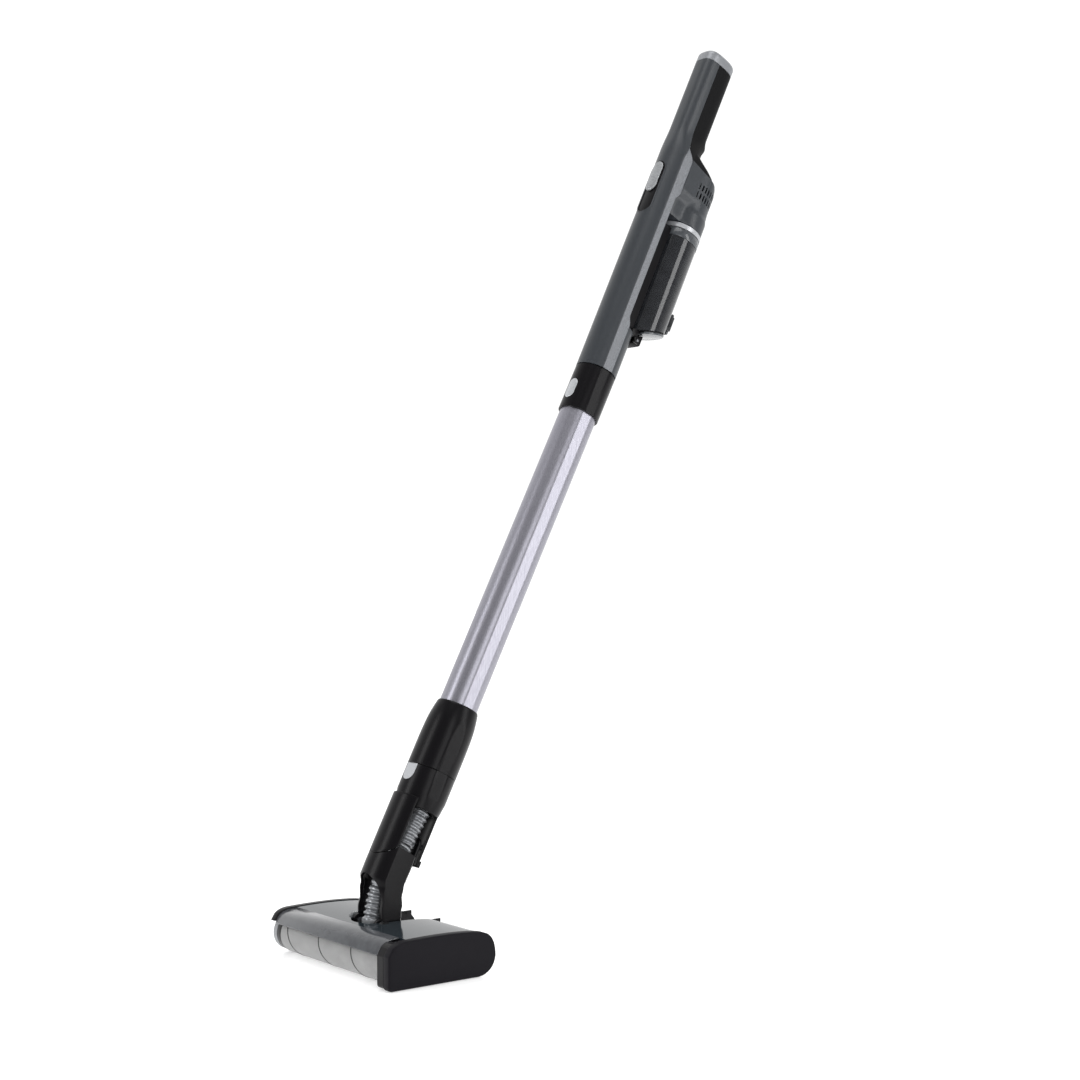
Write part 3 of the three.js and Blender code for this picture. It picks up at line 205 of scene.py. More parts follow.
# polished mould: mirrors the lights in one clean sheet
gloss_cover = moulded("gloss blue grey ABS", "#23292e", "#293035", 2.5, 0.01, 0.1, 0.02,
                      Specular_IOR_Level=0.18)
# flexible plastic with a metallic pigment: a tight highlight on each rib
bellows = moulded("silver grey bellows plastic", "#808286", "#949699", 0.5, 0.08, 0.24, Metallic=0.55)


def anodised_aluminium():
    """Drawn, brushed and anodised tube: fine lines along its length that blur its reflections."""
    made, tree, principled, place = material("brushed anodised aluminium", Metallic=0.85)
    along = node(tree, "ShaderNodeMapping", {"Rotation": (LEAN, 0, 0), "Scale": (1, 1, 0.02)}, Vector=place)
    lines = node(tree, "ShaderNodeTexNoise", {"Scale": 1.6 * PER_MM, "Detail": 2.0},
                 Vector=along.outputs["Vector"])
    relief(tree, principled, lines, 0.08, 0.2)
    speckle(tree, principled, lines, "#8b8a93", "#9d9ca5")
    uneven_gloss(tree, principled, lines, 0.3, 0.38)
    return made


def brushed_button():
    """Silver switch with short crosswise brush marks, which scatter its light upwards."""
    made, tree, principled, place = material("brushed silver switch", Metallic=0.6)
    across = node(tree, "ShaderNodeMapping", {"Scale": (0.12, 1, 1)}, Vector=place)
    lines = node(tree, "ShaderNodeTexNoise", {"Scale": 1.5 * PER_MM, "Detail": 4.0},
                 Vector=across.outputs["Vector"])
    relief(tree, principled, lines, 0.35, 0.3)
    speckle(tree, principled, lines, "#85878a", "#a6a8aa")
    uneven_gloss(tree, principled, lines, 0.35, 0.5)
    return made


def smoked_polycarbonate(name, tint, transmission, roughness):
    """Clear tinted plastic from a polished mould: dark, with crisp bands of light and a faint haze."""
    made, tree, principled, place = material(name, IOR=1.5, Roughness=roughness)
    principled.inputs["Transmission Weight"].default_value = transmission
    haze = node(tree, "ShaderNodeTexNoise", {"Scale": 0.09 * PER_MM, "Detail": 3.0}, Vector=place)
    speckle(tree, principled, haze, tint[0], tint[1])
    return made


def roller_velvet():
    """Short dense pile: soft, matt, with a light bloom at grazing angles."""
    made, tree, principled, place = material("velvet roller pile", Roughness=0.95, IOR=1.45)
    principled.inputs["Sheen Weight"].default_value = 0.4
    principled.inputs["Sheen Roughness"].default_value = 0.5
    fine = node(tree, "ShaderNodeTexNoise", {"Scale": 1.4 * PER_MM, "Detail": 5.0}, Vector=place)
    relief(tree, principled, fine, 0.6, 0.8)
    broad = node(tree, "ShaderNodeTexNoise", {"Scale": 0.055 * PER_MM, "Detail": 4.0}, Vector=place)
    speckle(tree, principled, broad, "#838383", "#919191", 0.3, 0.7)
    return made


tube_metal = anodised_aluminium()
switch_silver = brushed_button()
cup_clear = smoked_polycarbonate("smoked clear polycarbonate", ("#2c2e32", "#36383c"), 0.5, 0.09)
window_clear = smoked_polycarbonate("smoked strip polycarbonate", ("#55575b", "#606266"), 0.35, 0.1)
clear_plastic = smoked_polycarbonate("clear polycarbonate", ("#b8bcc0", "#caced2"), 0.8, 0.05)
rim_clear = smoked_polycarbonate("smoked rim polycarbonate", ("#4e5155", "#5a5d61"), 0.3, 0.15)
velvet = roller_velvet()


# ------------------------------------------------------------------ shapes
def open_edges(bm):
    return [e for e in bm.edges if len(e.link_faces) == 1]


def trimmed(bm, at, away, close=True):
    """Cuts off what lies beyond a plane, on the side that away points to, and closes the cut."""
    geom = list(bm.verts) + list(bm.edges) + list(bm.faces)
    bmesh.ops.bisect_plane(bm, geom=geom, plane_co=at, plane_no=away, clear_outer=True)
    if close:
        bmesh.ops.holes_fill(bm, edges=open_edges(bm), sides=0)
    return bm


def turned(profile, sides=96, axis="Z", centre=(0, 0, 0)):
    """A turned solid from (radius, height) points."""
    bm = bmesh.new()
    verts = [bm.verts.new((r, 0, h)) for r, h in profile]
    edges = [bm.edges.new((a, b)) for a, b in zip(verts, verts[1:])]
    bmesh.ops.spin(bm, geom=verts + edges, cent=(0, 0, 0), axis=(0, 0, 1), steps=sides,
                   angle=2 * math.pi, use_merge=True)
    bmesh.ops.remove_doubles(bm, verts=bm.verts, dist=0.001)
    turn = {"Z": Matrix.Identity(4), "X": Matrix.Rotation(math.pi / 2, 4, "Y"),
            "Y": Matrix.Rotation(-math.pi / 2, 4, "X")}[axis]
    bm.transform(Matrix.Translation(centre) @ turn)
    return bm


def loft(outlines, closed=True, caps=True):
    """A skin drawn from outline to outline. Every outline has the same number of points."""
    bm = bmesh.new()
    verts = [bm.verts.new(p) for p in outlines[0]]
    edges = [bm.edges.new((a, b)) for a, b in zip(verts, verts[1:])]
    if closed:
        edges.append(bm.edges.new((verts[-1], verts[0])))
    first = list(edges)
    for outline in outlines[1:]:
        grown = bmesh.ops.extrude_edge_only(bm, edges=edges)["geom"]
        fresh = [g for g in grown if isinstance(g, bmesh.types.BMVert)]
        edges = [g for g in grown if isinstance(g, bmesh.types.BMEdge)
                 and g.verts[0] in fresh and g.verts[1] in fresh]
        partner = {}
        for vert in fresh:
            for edge in vert.link_edges:
                other = edge.other_vert(vert)
                if other in verts:
                    partner[other] = vert
        verts = [partner[v] for v in verts]
        for vert, point in zip(verts, outline):
            vert.co = point
    if closed and caps:
        bmesh.ops.contextual_create(bm, geom=first)
        bmesh.ops.contextual_create(bm, geom=edges)
    return bm


def prism(outline, low, high, axis="Z"):
    """An outline of (a, b) points pushed along an axis: X reads it as (y, z), Y as (x, z)."""
    spot = {"X": lambda a, b, c: (c, a, b), "Y": lambda a, b, c: (a, c, b),
            "Z": lambda a, b, c: (a, b, c)}[axis]
    return loft([[spot(a, b, low) for a, b in outline], [spot(a, b, high) for a, b in outline]])


def rounded(bm, width, segments=3, angle=35):
    """Rounds the edges that are sharper than an angle."""
    bmesh.ops.recalc_face_normals(bm, faces=bm.faces)
    sharp = [e for e in bm.edges if len(e.link_faces) == 2
             and e.calc_face_angle(0) > math.radians(angle)]
    bmesh.ops.bevel(bm, geom=sharp, offset=width, offset_type="OFFSET", segments=segments,
                    affect="EDGES", profile=0.5, material=-1, clamp_overlap=True)
    return bm


def arc(cx, cy, radius, start, end, count):
    """Points of an arc between two angles in degrees."""
    return [(cx + radius * math.cos(math.radians(start + (end - start) * k / count)),
             cy + radius * math.sin(math.radians(start + (end - start) * k / count)))
            for k in range(count + 1)]


def slot_outline(half, low, high, count=24):
    """A round-ended slot, half wide, from low to high."""
    return (arc(0, high - half, half, 0, 180, count) + arc(0, low + half, half, 180, 360, count))


def smooth_step(t):
    """Rises from 0 to 1 with level ends."""
    t = min(1, max(0, t))
    return t * t * (3 - 2 * t)


def curve_through(points, count):
    """A smooth (Catmull-Rom) line through 2-D points."""
    ends = [points[0]] + list(points) + [points[-1]]
    line = []
    for k in range(len(points) - 1):
        p0, p1, p2, p3 = ends[k:k + 4]
        for j in range(count):
            t = j / count
            line.append(tuple(0.5 * (2 * b + (c - a) * t + (2 * a - 5 * b + 4 * c - d) * t * t
                                     + (3 * b - 3 * c + d - a) * t ** 3)
                              for a, b, c, d in zip(p0, p1, p2, p3)))
    return line + [tuple(points[-1])]


def placed(name, bm, place):
    """An object whose mesh is a drawn shape, laid in its place."""
    bmesh.ops.remove_doubles(bm, verts=bm.verts, dist=0.002)
    bmesh.ops.recalc_face_normals(bm, faces=bm.faces)
    bm.transform(PLACES[place])
    mesh = bpy.data.meshes.new(name)
    bm.to_mesh(mesh)
    bm.free()
    made = bpy.data.objects.new(name, mesh)
    bpy.context.scene.collection.objects.link(made)
    return made


def shade(mesh, sharp):
    """Smooth shading, but for edges sharper than an angle."""
    mesh.polygons.foreach_set("use_smooth", [True] * len(mesh.polygons))
    mesh.set_sharp_from_angle(angle=math.radians(sharp))


def give_wall(made, wall):
    """Thickens a skin inwards by a wall in millimetres."""
    step = made.modifiers.new("wall", "SOLIDIFY")
    step.thickness = wall * MM
    step.offset = -1


def soften_edges(made, width, segments, angle, harden=False):
    """Rounds the finished object's edges by a width in millimetres."""
    step = made.modifiers.new("edges", "BEVEL")
    step.width = width * MM
    step.segments = segments
    step.limit_method = "ANGLE"
    step.angle_limit = math.radians(angle)
    step.harden_normals = harden


def piece(name, bm, place, body, look, replaces=(), sharp=35, wall=0, bevel=0):
    """Places a drawn shape as a finished object that rides on a body."""
    made = placed(name, bm, place)
    shade(made.data, sharp)
    made.data.materials.append(look)
    if wall:
        give_wall(made, wall)
    if bevel:
        soften_edges(made, bevel, 2, 40, harden=True)
    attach(made, body)
    if replaces:
        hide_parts(*replaces)
    return made


def carve(target, tools):
    """Cuts (shape, place) tools out of a finished object."""
    for bm, place in tools:
        cutter = placed("cutter", bm, place)
        step = target.modifiers.new("cut", "BOOLEAN")
        step.operation = "DIFFERENCE"
        step.solver = "EXACT"
        step.object = cutter
        graph = bpy.context.evaluated_depsgraph_get()
        fresh = bpy.data.meshes.new_from_object(target.evaluated_get(graph))
        target.modifiers.clear()
        target.data = fresh
        bpy.data.objects.remove(cutter)
    shade(target.data, 35)


# ------------------------------------------------------------------ handheld
def body_point(angle, t):
    """A point of the handheld's outer form at an angle from +x, at station t."""
    share = smooth_step((t - GRIP_LOW) / 44)
    half = BODY_RADIUS + (GRIP_HALF - BODY_RADIUS) * share
    front = BODY_RADIUS + (GRIP_FRONT - BODY_RADIUS) * share
    back = BODY_RADIUS + (GRIP_BACK - BODY_RADIUS) * share
    power = 2 / (2 + 1.2 * share)
    c, s = math.cos(angle), math.sin(angle)
    x = math.copysign(half * abs(c) ** power, c)
    y = math.copysign((front if s < 0 else back) * abs(s) ** power, s)
    side = 1 if x > 0 else -1
    normal = Vector((side * math.cos(FLAT_TURN), -math.sin(FLAT_TURN)))
    over = (Vector((x, y)).dot(normal) - FLAT_DISTANCE) * (1 - smooth_step((t - GRIP_LOW - 2) / 12))
    if over > 0:
        x -= over * normal.x
        y -= over * normal.y
    return x, y


def seam_y(t):
    """Where the front shell meets the parts behind it."""
    return SEAM_Y + (GRIP_SEAM_Y - SEAM_Y) * smooth_step((t - 996) / 34)


def angle_at(y, t):
    """The angle on the right-hand side at which the outer form reaches y."""
    low, high = -math.pi / 2, math.pi / 2
    for _ in range(40):
        middle = (low + high) / 2
        if body_point(middle, t)[1] < y:
            low = middle
        else:
            high = middle
    return (low + high) / 2


def stations(*spans):
    """Stations from (start, end, count) spans."""
    found = []
    for start, end, count in spans:
        found += [start + (end - start) * k / count for k in range(count)]
    return found + [spans[-1][1]]


def front_outline(t, count=56):
    """The front shell's half of the outer form at a station."""
    right = angle_at(seam_y(t), t)
    line = [body_point(right + (-math.pi - 2 * right) * k / count, t) for k in range(count + 1)]
    return [(x, y, t) for x, y in line]


shell = piece("front_shell", loft([front_outline(t) for t in stations(
    (HAND_SEAM + 0.9, GRIP_LOW, 30), (GRIP_LOW, 1045, 14), (1045, GRIP_TOP, 8))], closed=False),
    "handheld", "handheld", graphite, ["body_front_shell"], wall=2.2)
carve(shell, [(prism(slot_outline(11.9, 915.2, 991.1), -60, -5, "Y"), "handheld")])
soften_edges(shell, 0.5, 3, 50)


def back_outline(t, count=40):
    """The half of the outer form behind the front shell's joint at a station."""
    start = angle_at(seam_y(t) + JOINT, t)
    line = [body_point(start + (math.pi - 2 * start) * k / count, t) for k in range(count + 1)]
    return [(x, y, t) for x, y in line]


# lower back half of the body, closed at the top by the shelf
piece("lower_body_back",
      loft([back_outline(t) for t in stations((HAND_SEAM + 0.9, SHELF, 8))], closed=False),
      "handheld", "handheld", graphite, ["body_rear_shell"], wall=2.2, bevel=0.4)


# speckled side strips, wide at the bottom and beside the motor, narrow beside the cup
def strip_back(t):
    """Where the side strip ends towards the back."""
    wide = 4.8 - 4.6 * smooth_step((t - 765) / 14)
    return wide + 4.4 * smooth_step((t - 946) / 10) - 12 * smooth_step((t - GRIP_LOW) / 22)


def strip_outline(side, t):
    """Section of a side strip, a thin band that follows the outer form."""
    front = seam_y(t) + JOINT
    back = max(front + 0.15, strip_back(t))
    outer = []
    for k in range(9):
        y = front + (back - front) * k / 8
        angle = angle_at(y, t)
        x, spot = body_point(angle, t)
        outer.append((side * (x + 0.12), spot, t))
    inner = [(side * (abs(x) - 1.2), y, z) for x, y, z in reversed(outer)]
    return outer + inner


# the strips' lighter grey is partly painted light for the brightness of the side flats, partly their own
# flecked paint
for side, label in SIDES:
    piece(f"side_strip_{label}", rounded(loft([strip_outline(side, t) for t in stations(
        (HAND_SEAM + 1, 764, 4), (764, 782, 9), (782, 944, 4), (944, 960, 8), (960, GRIP_LOW, 4),
        (GRIP_LOW, 1022, 10))]),
        0.6, 3, 50), "handheld", "handheld", strip_grey_painted_light)

# shelf, back plate and saddle behind the cup
saddle_radius = 1.03 * CUP_RADIUS
saddle_arc = arc(0, CUP_Y, saddle_radius, -60, -120, 20)
saddle = [(-23.6, -4), (23.6, -4), (23.6, 0.2), (14, 0.2)] + saddle_arc + [(-14, 0.2), (-23.6, 0.2)]
piece("cup_saddle", rounded(prism(saddle, 764, 917), 0.4, 2), "handheld", "handheld", black_abs)
piece("back_plate", rounded(prism([(-23.4, -4), (23.4, -4), (23.4, 0.8), (-23.4, 0.8)], 917, 1003.5), 0.4, 2),
      "handheld", "handheld", graphite)
piece("body_shelf", rounded(prism(arc(0, 0, 22.9, -20, 200, 44), 760.5, 764.2), 0.4, 2),
      "handheld", "handheld", black_abs)

# switch recess, its floor and rim
recess_floor = prism(slot_outline(11.5, 915.6, 990.7), -22.6, -20.8, "Y")
piece("switch_recess", rounded(recess_floor, 0.3, 2), "handheld", "handheld", black_abs,
      ["switch_bezel"])


def slot_ring(half_out, half_in, low, high, front, back):
    """A stadium ring whose front follows the round body."""
    outer = slot_outline(half_out, low, high)
    inner = slot_outline(half_in, low + half_out - half_in, high - half_out + half_in)

    def on_body(points, lift):
        return [(x, -math.sqrt(max(0, (BODY_RADIUS + lift) ** 2 - x * x)), z) for x, z in points]
    bm = loft([[(x, back, z) for x, z in outer], on_body(outer, front), on_body(inner, front),
               [(x, back, z) for x, z in inner]], caps=False)
    bmesh.ops.bridge_loops(bm, edges=open_edges(bm))
    return bm


ring = slot_ring(11.6, 10.1, 915.5, 990.8, 0.15, -21)
piece("switch_rim", rounded(ring, 0.3, 2, 50), "handheld", "handheld", black_abs)


def domed_slot(half, low, high, radius, base, rows=6, edge=1.2):
    """An oval plate whose face follows a cylinder about the axis and rolls over at its rim."""
    outlines = [[(x, base, z) for x, z in slot_outline(half, low, high)]]
    for k in range(rows + 1):
        a = math.pi / 2 * k / rows
        cut = edge * (1 - math.cos(a))
        drop = edge * (1 - math.sin(a)) * 0.8
        shape = slot_outline(half - cut, low + cut, high - cut)
        outlines.append([(x, -math.sqrt(radius ** 2 - x * x) + drop, z) for x, z in shape])
    for shrink in (0.66, 0.33, 0.02):
        mid = (low + high) / 2
        inside = slot_outline(half - edge, low + edge, high - edge)
        shape = [(x * shrink, mid + (z - mid) * shrink) for x, z in inside]
        outlines.append([(x, -math.sqrt(radius ** 2 - x * x), z) for x, z in shape])
    return loft(outlines)


piece("power_switch_cap", domed_slot(9.2, 947, 989, 26.6, -23.9), "handheld", "power_switch",
      switch_silver, ["power_switch"], sharp=60)


def curved_plate(outline, outer, inner):
    """An outline of (x, z) wrapped as a plate between two radii about the stick's axis."""
    def wrap(radius, x, z):
        return (x, -math.sqrt(radius * radius - x * x), z)
    return loft([[wrap(inner, x, z) for x, z in outline], [wrap(outer, x, z) for x, z in outline]])


# fine raised line that crosses the switch at a slight slant
across = [(-7.2 + 14.4 * k / 12, 967.3 + 1.4 * k / 12) for k in range(13)]
switch_line = across + [(x, z + 0.5) for x, z in reversed(across)]
piece("switch_cross_line", curved_plate(switch_line, 26.75, 26.2), "handheld", "power_switch",
      silver_paint)

# raised lip round the recess, which catches a crescent of light at its lower end
lip = slot_ring(13.3, 11.7, 914.0, 992.4, 0.1, -22.4)
piece("switch_lip", rounded(lip, 0.55, 3, 50), "handheld", "handheld", graphite)


# grip: the black back of the handle, which grows into the cap over the motor housing
def grip_section(t):
    """Outline of the grip's back, with the swelling that stops the finger."""
    swell = 3.2 * math.exp(-((t - 1037) / 6.5) ** 2)
    return [(x, y + (swell * (y - 14) / 10 if y > 14 else 0), t) for x, y, _ in back_outline(t, 60)]


def closed_back(points, depth):
    """Closes an open outline a little inside its ends."""
    (x0, y0, z0), (x1, y1, z1) = points[0], points[-1]
    return points + [(x1 + 2.2, y1, z1), (x1 + 3, y1 + depth, z1),
                     (x0 - 3, y0 + depth, z0), (x0 - 2.2, y0, z0)]


piece("handle_back", loft([closed_back(grip_section(t), 5) for t in stations(
    (1003.8, 1018, 14), (1018, 1060, 24), (1060, 1146.3, 6))]),
    "handheld", "handheld", black_soft, ["handle_grip"], sharp=50, bevel=0.3)

# roof over the motor housing: it falls away from the grip's foot and rolls down over the back
ROOF = [(0, 66.4), (988, 66.4), (996, 64.2), (1001, 60.6), (1005, 56), (1009, 48.5), (1012, 41.5),
        (1015, 35), (1017.5, 30), (1020, 26.2), (1024, 23)]


def roof_reach(t):
    """How far back the roof's edge lies at a station, along the points of ROOF."""
    for (t0, y0), (t1, y1) in zip(ROOF, ROOF[1:]):
        if t <= t1:
            return y0 + (y1 - y0) * (t - t0) / (t1 - t0)
    return ROOF[-1][1]


def roof_section(t, start=3.0, count=40):
    """D-shaped outline whose back reaches the roof's edge at a station."""
    half = min(24.5, body_point(0, max(t, GRIP_LOW))[0] - 0.5)
    reach = roof_reach(t)
    middle = max(start + 1, reach - half)
    flank = [(half, start + (middle - start) * k / 6, t) for k in range(6)]
    bow = [(half * c, middle + (reach - middle) * s, t) for c, s in arc(0, 0, 1, 0, 180, count)]
    return flank + bow + [(-x, y, z) for x, y, z in reversed(flank)]


# the roof and the housing meet in a slanting joint
SPLIT = Vector((0, 9.5, 61)).normalized()
roof = loft([roof_section(t) for t in stations((994, 1006, 12), (1006, 1023, 20))])
piece("housing_roof", rounded(trimmed(roof, (0, 3, 1007.2), -SPLIT), 0.5, 2, 50), "handheld", "handheld",
      black_soft, sharp=50)

# silver end cap with a rolled top edge
cap_rows = []
for k in range(12):
    rolled = math.pi / 2 * (k - 1) / 10
    t = GRIP_TOP + 0.3 + 9 * k if k < 2 else GRIP_TOP + 9.3 + 6.2 * math.sin(rolled)
    shrink = 1 if k < 2 else 1 - 0.3 * (1 - math.cos(rolled))
    ring = [body_point(2 * math.pi * j / 72, GRIP_TOP - 0.5) for j in range(72)]
    cap_rows.append([(shrink * x, shrink * y, t) for x, y in ring])
piece("handle_end", loft(cap_rows), "handheld", "handheld", cap_silver,
      ["handle_end_cap"], sharp=50)


# motor housing: a D-shaped upper part that flows into a round collar below
def housing_section(t, count=96):
    """Outline round the housing's own axis: a circle joined to a block that reaches the body."""
    share = smooth_step((t - 951) / 15)
    radius = 27 - 2.5 * share
    radius -= 1.5 * smooth_step((t - 946) / 8) * (1 - share)
    flank = 19.5 + 4.9 * share
    line = []
    for k in range(count):
        angle = 2 * math.pi * k / count
        c, s = math.cos(angle), math.sin(angle)
        reach = min(flank / max(abs(c), 1e-6), 39 / max(-s, 1e-6)) if s < 0 else 0
        far = (radius ** 18 + reach ** 18) ** (1 / 18)
        line.append((far * c, HOUSING_Y + far * s, t))
    return line


def shortened(line, t):
    """Draws the back of a housing outline in to the roof's edge."""
    share = (roof_reach(t) - HOUSING_Y) / 24.3
    return [(x, HOUSING_Y + (y - HOUSING_Y) * share if y > HOUSING_Y else y, t) for x, y, _ in line]


housing_rows = ([housing_section(t) for t in stations((928.4, 946, 3), (946, 972, 16), (972, 984, 1))]
                + [shortened(housing_section(t), t) for t in stations((986, 1008, 22))])
housing = piece("motor_cover", rounded(trimmed(loft(housing_rows), (0, 3, 1006.9), SPLIT), 0.4, 2, 60),
                "handheld", "handheld", graphite, ["motor_housing"], sharp=50)

# two rows of upright air slots on each side of the housing, with a dark lining behind them
vents = bmesh.new()
for low in (967.6, 979.4):
    for k in range(8):
        angle = math.radians(-40 + k * 11.5)
        for side, _ in SIDES:
            bar = prism(slot_outline(1.15, low, low + 8.6, 6), 20.5, 28, "Y")
            turn = Matrix.Rotation(angle - math.pi / 2, 4, "Z")
            bar.transform(Matrix.Translation((0, 42, 0)) @ Matrix.Scale(side, 4, (1, 0, 0)) @ turn)
            bmesh.ops.recalc_face_normals(bar, faces=bar.faces)
            mesh = bpy.data.meshes.new("bar")
            bar.to_mesh(mesh)
            bar.free()
            vents.from_mesh(mesh)
carve(housing, [(vents, "handheld")])
piece("vent_lining", turned([(21, 962), (21, 994), (20.2, 994), (20.2, 962), (21, 962)], 64,
                            centre=(0, 42, 0)), "handheld", "handheld", matt_black)

# ------------------------------------------------------------------ dust cup
piece("silver_ring", turned([(22.6, 921.4), (27.5, 921.4), (27.5, 927.0), (27.1, 927.5), (22.6, 927.5),
                             (22.6, 921.4)], 96, centre=(0, CUP_Y, 0)), "handheld", "dust_cup",
      silver_paint, ["cup_collar"])
cup = turned([(25, 740), (CUP_RADIUS, 740), (CUP_RADIUS, 909.2), (25, 909.2), (25, 740)], 112,
             centre=(0, CUP_Y, 0))
trimmed(cup, (0, 0, 762), CUP_SLANT, close=False)
bmesh.ops.bridge_loops(cup, edges=open_edges(cup))
piece("dust_cup_clear", cup, "handheld", "dust_cup", cup_clear, ["dust_cup_wall"])
piece("cup_rim_band", turned([(25.2, 909.6), (27.35, 909.6), (27.5, 910.2), (27.5, 919.6), (27.1, 920.2),
                              (25.2, 920.2), (25.2, 909.6)], 96, centre=(0, CUP_Y, 0)),
      "handheld", "dust_cup", rim_clear)
piece("filter_cage", turned([(0, 832), (16.6, 832), (18, 833.4), (18, 903), (19, 905), (23.6, 909),
                             (23.6, 910.5), (15, 910.5), (15, 836), (0, 836)], 96, centre=(0, CUP_Y, 0)),
      "handheld", "dust_cup", black_abs, ["filter_shroud"])

# fixed front of the cup's floor, with the two ears that hold the door's hinge pin
floor_block = prism([(15.9, 764.4), (26, 764.4), (27, 768), (27, 775.6), (15.9, 770.6)], -17.5, 17.5, "X")
piece("cup_front_floor", rounded(floor_block, 0.6, 2), "handheld", "dust_cup", black_abs)
for side, label in SIDES:
    ear = prism([(24.5, 764.4), (27.5, 758.8), (34.2, 758.4), (34.8, 760), (34.4, 765), (28.4, 766.6),
                 (28.4, 773), (24.5, 773)], side * 10.4, side * 14, "X")
    piece(f"door_ear_{label}", rounded(ear, 0.5, 2), "handheld", "dust_cup", black_abs)

# door: a slanting plate behind the hinge block
door = turned([(0, 700), (27.2, 700), (27.2, 900), (0, 900)], 96, centre=(0, CUP_Y, 0))
trimmed(door, (0, 0, 759.8), -CUP_SLANT)
trimmed(door, (0, 0, 757.0), CUP_SLANT)
trimmed(door, (0, 29.3, 0), Vector((0, -1, 0)))
piece("door_plate", rounded(door, 0.5, 3), "handheld", "cup_door", rim_clear,
      ["cup_door"])
knuckle = prism([(29.2, 762), (29.6, 759.6), (31, 758.7), (38, 757.9), (40.3, 760.6), (40.3, 773.8),
                 (30, 769.4)], -9.6, 9.6, "X")
piece("hinge_knuckle", rounded(knuckle, 0.8, 3), "handheld", "cup_door", black_abs)

# latch at the back of the cup, between two lugs
latch = prism([(73.4, 797), (76.2, 798), (77, 812), (76.2, 826), (73, 826.4), (71.2, 812), (73.2, 803)],
              -6, 6, "X")
piece("cup_latch", rounded(latch, 0.9, 3), "handheld", "door_latch", rim_clear,
      ["door_latch"])
for side, label in SIDES:
    lug = prism([(66, 800), (76, 802), (76, 821), (72, 823), (66, 823)], side * 6.5, side * 8.9, "X")
    piece(f"latch_lug_{label}", rounded(lug, 0.6, 2), "handheld", "dust_cup", cup_clear)

# ------------------------------------------------------------------ wand
def flat_turned(profile, flat, sides=112):
    """A turned piece with the two side flats, which face a little forward, pressed in."""
    bm = turned(profile, sides)
    for vert in bm.verts:
        side = 1 if vert.co.x > 0 else -1
        normal = Vector((side * math.cos(FLAT_TURN), -math.sin(FLAT_TURN), 0))
        over = vert.co.dot(normal) - flat
        if over > 0:
            vert.co -= over * normal
    return bm


piece("wand_metal_tube", flat_turned([(20.7, 236), (TUBE_RADIUS, 236), (TUBE_RADIUS, 650), (20.7, 650),
                                      (20.7, 236)], 21.6),
      "stick", "wand", tube_metal, ["wand_tube"], sharp=20)

# the lower cuff draws in towards the tube
taper = curve_through([(28.7, 205), (28.5, 222), (27.8, 236), (26.4, 247), (24.6, 256.6)], 5)
lower_profile = ([(22.3, 178.3), (28.2, 178.3), (28.7, 178.8)] + taper
                 + [(24.0, 257.8), (22.8, 258), (22.8, 235.7), (22.3, 235.7), (22.3, 178.3)])
piece("lower_cuff", flat_turned(lower_profile, NECK_FLAT), "stick", "wand", black_abs,
      ["wand_lower_cuff"], sharp=30)

# the upper cuff has a slot for its release button
upper_profile = [(20.4, 651), (22.8, 651), (22.8, 640), (24.6, 640), (25, 640.5), (25, 699.2), (24.5, 699.7),
                 (20.4, 699.7), (20.4, 651)]
upper_cuff = piece("upper_cuff", flat_turned(upper_profile, 24.1), "stick", "wand",
                   black_abs, ["wand_upper_cuff"], sharp=30)
carve(upper_cuff, [(prism(slot_outline(8, 651.6, 678.4), -60, -22.4, "Y"), "stick")])
piece("wand_button", domed_slot(7.6, 652, 678, 25.5, -23.8, 6, 1.0), "stick", "wand_release_button",
      silver_paint, ["wand_release_button"], sharp=60)

# ------------------------------------------------------------------ neck
barrel_profile = [(19, 178), (28.1, 178), (28.6, 177.5), (28.6, 149), (28.2, 146.5), (27, 137), (26.4, 133.4),
                  (26, 133), (20, 133), (20, 151), (19, 151), (19, 178)]
barrel = piece("neck_barrel", flat_turned(barrel_profile, NECK_FLAT), "stick", "neck", black_abs,
               ["connector_barrel"], sharp=30)


def tongue_outline(half, low, high, count=24):
    """A straight top with a round lower end."""
    return [(half, high), (-half, high)] + arc(0, low + half, half, 180, 360, count)


carve(barrel, [(prism(tongue_outline(9.5, 157.7, 190), -60, -25.4, "Y"), "stick")])


def grid_plate(x_half, low, high, outer, wall, across=28, along=24, y_sign=-1):
    """A curved plate over the front of the neck. low and high give its edges at each x."""
    bm = bmesh.new()
    bmesh.ops.create_grid(bm, x_segments=across, y_segments=along, size=1)
    for vert in bm.verts:
        u, v = vert.co.x, (vert.co.y + 1) / 2
        x = u * x_half
        z = low(x) + (high(x) - low(x)) * v
        vert.co = (x, y_sign * math.sqrt(max(0, outer * outer - x * x)), z)
    bmesh.ops.recalc_face_normals(bm, faces=bm.faces)
    if sum((f.normal.y * y_sign) for f in bm.faces) < 0:
        bmesh.ops.reverse_faces(bm, faces=bm.faces)
    bmesh.ops.solidify(bm, geom=bm.faces[:], thickness=wall)
    return bm


front_cover = grid_plate(24, lambda x: SWIVEL - math.sqrt(27 ** 2 - x * x), lambda x: 142.6, 30.4, 2.4)
piece("neck_front_cover", rounded(front_cover, 0.4, 2, 60), "stick", "neck", black_abs,
      ["connector_front_cover"], sharp=50)
piece("neck_tongue", curved_plate(tongue_outline(9.2, 158, 177.7), 28.95, 26.6), "stick",
      "neck_release_button", silver_paint, ["neck_release_button"])

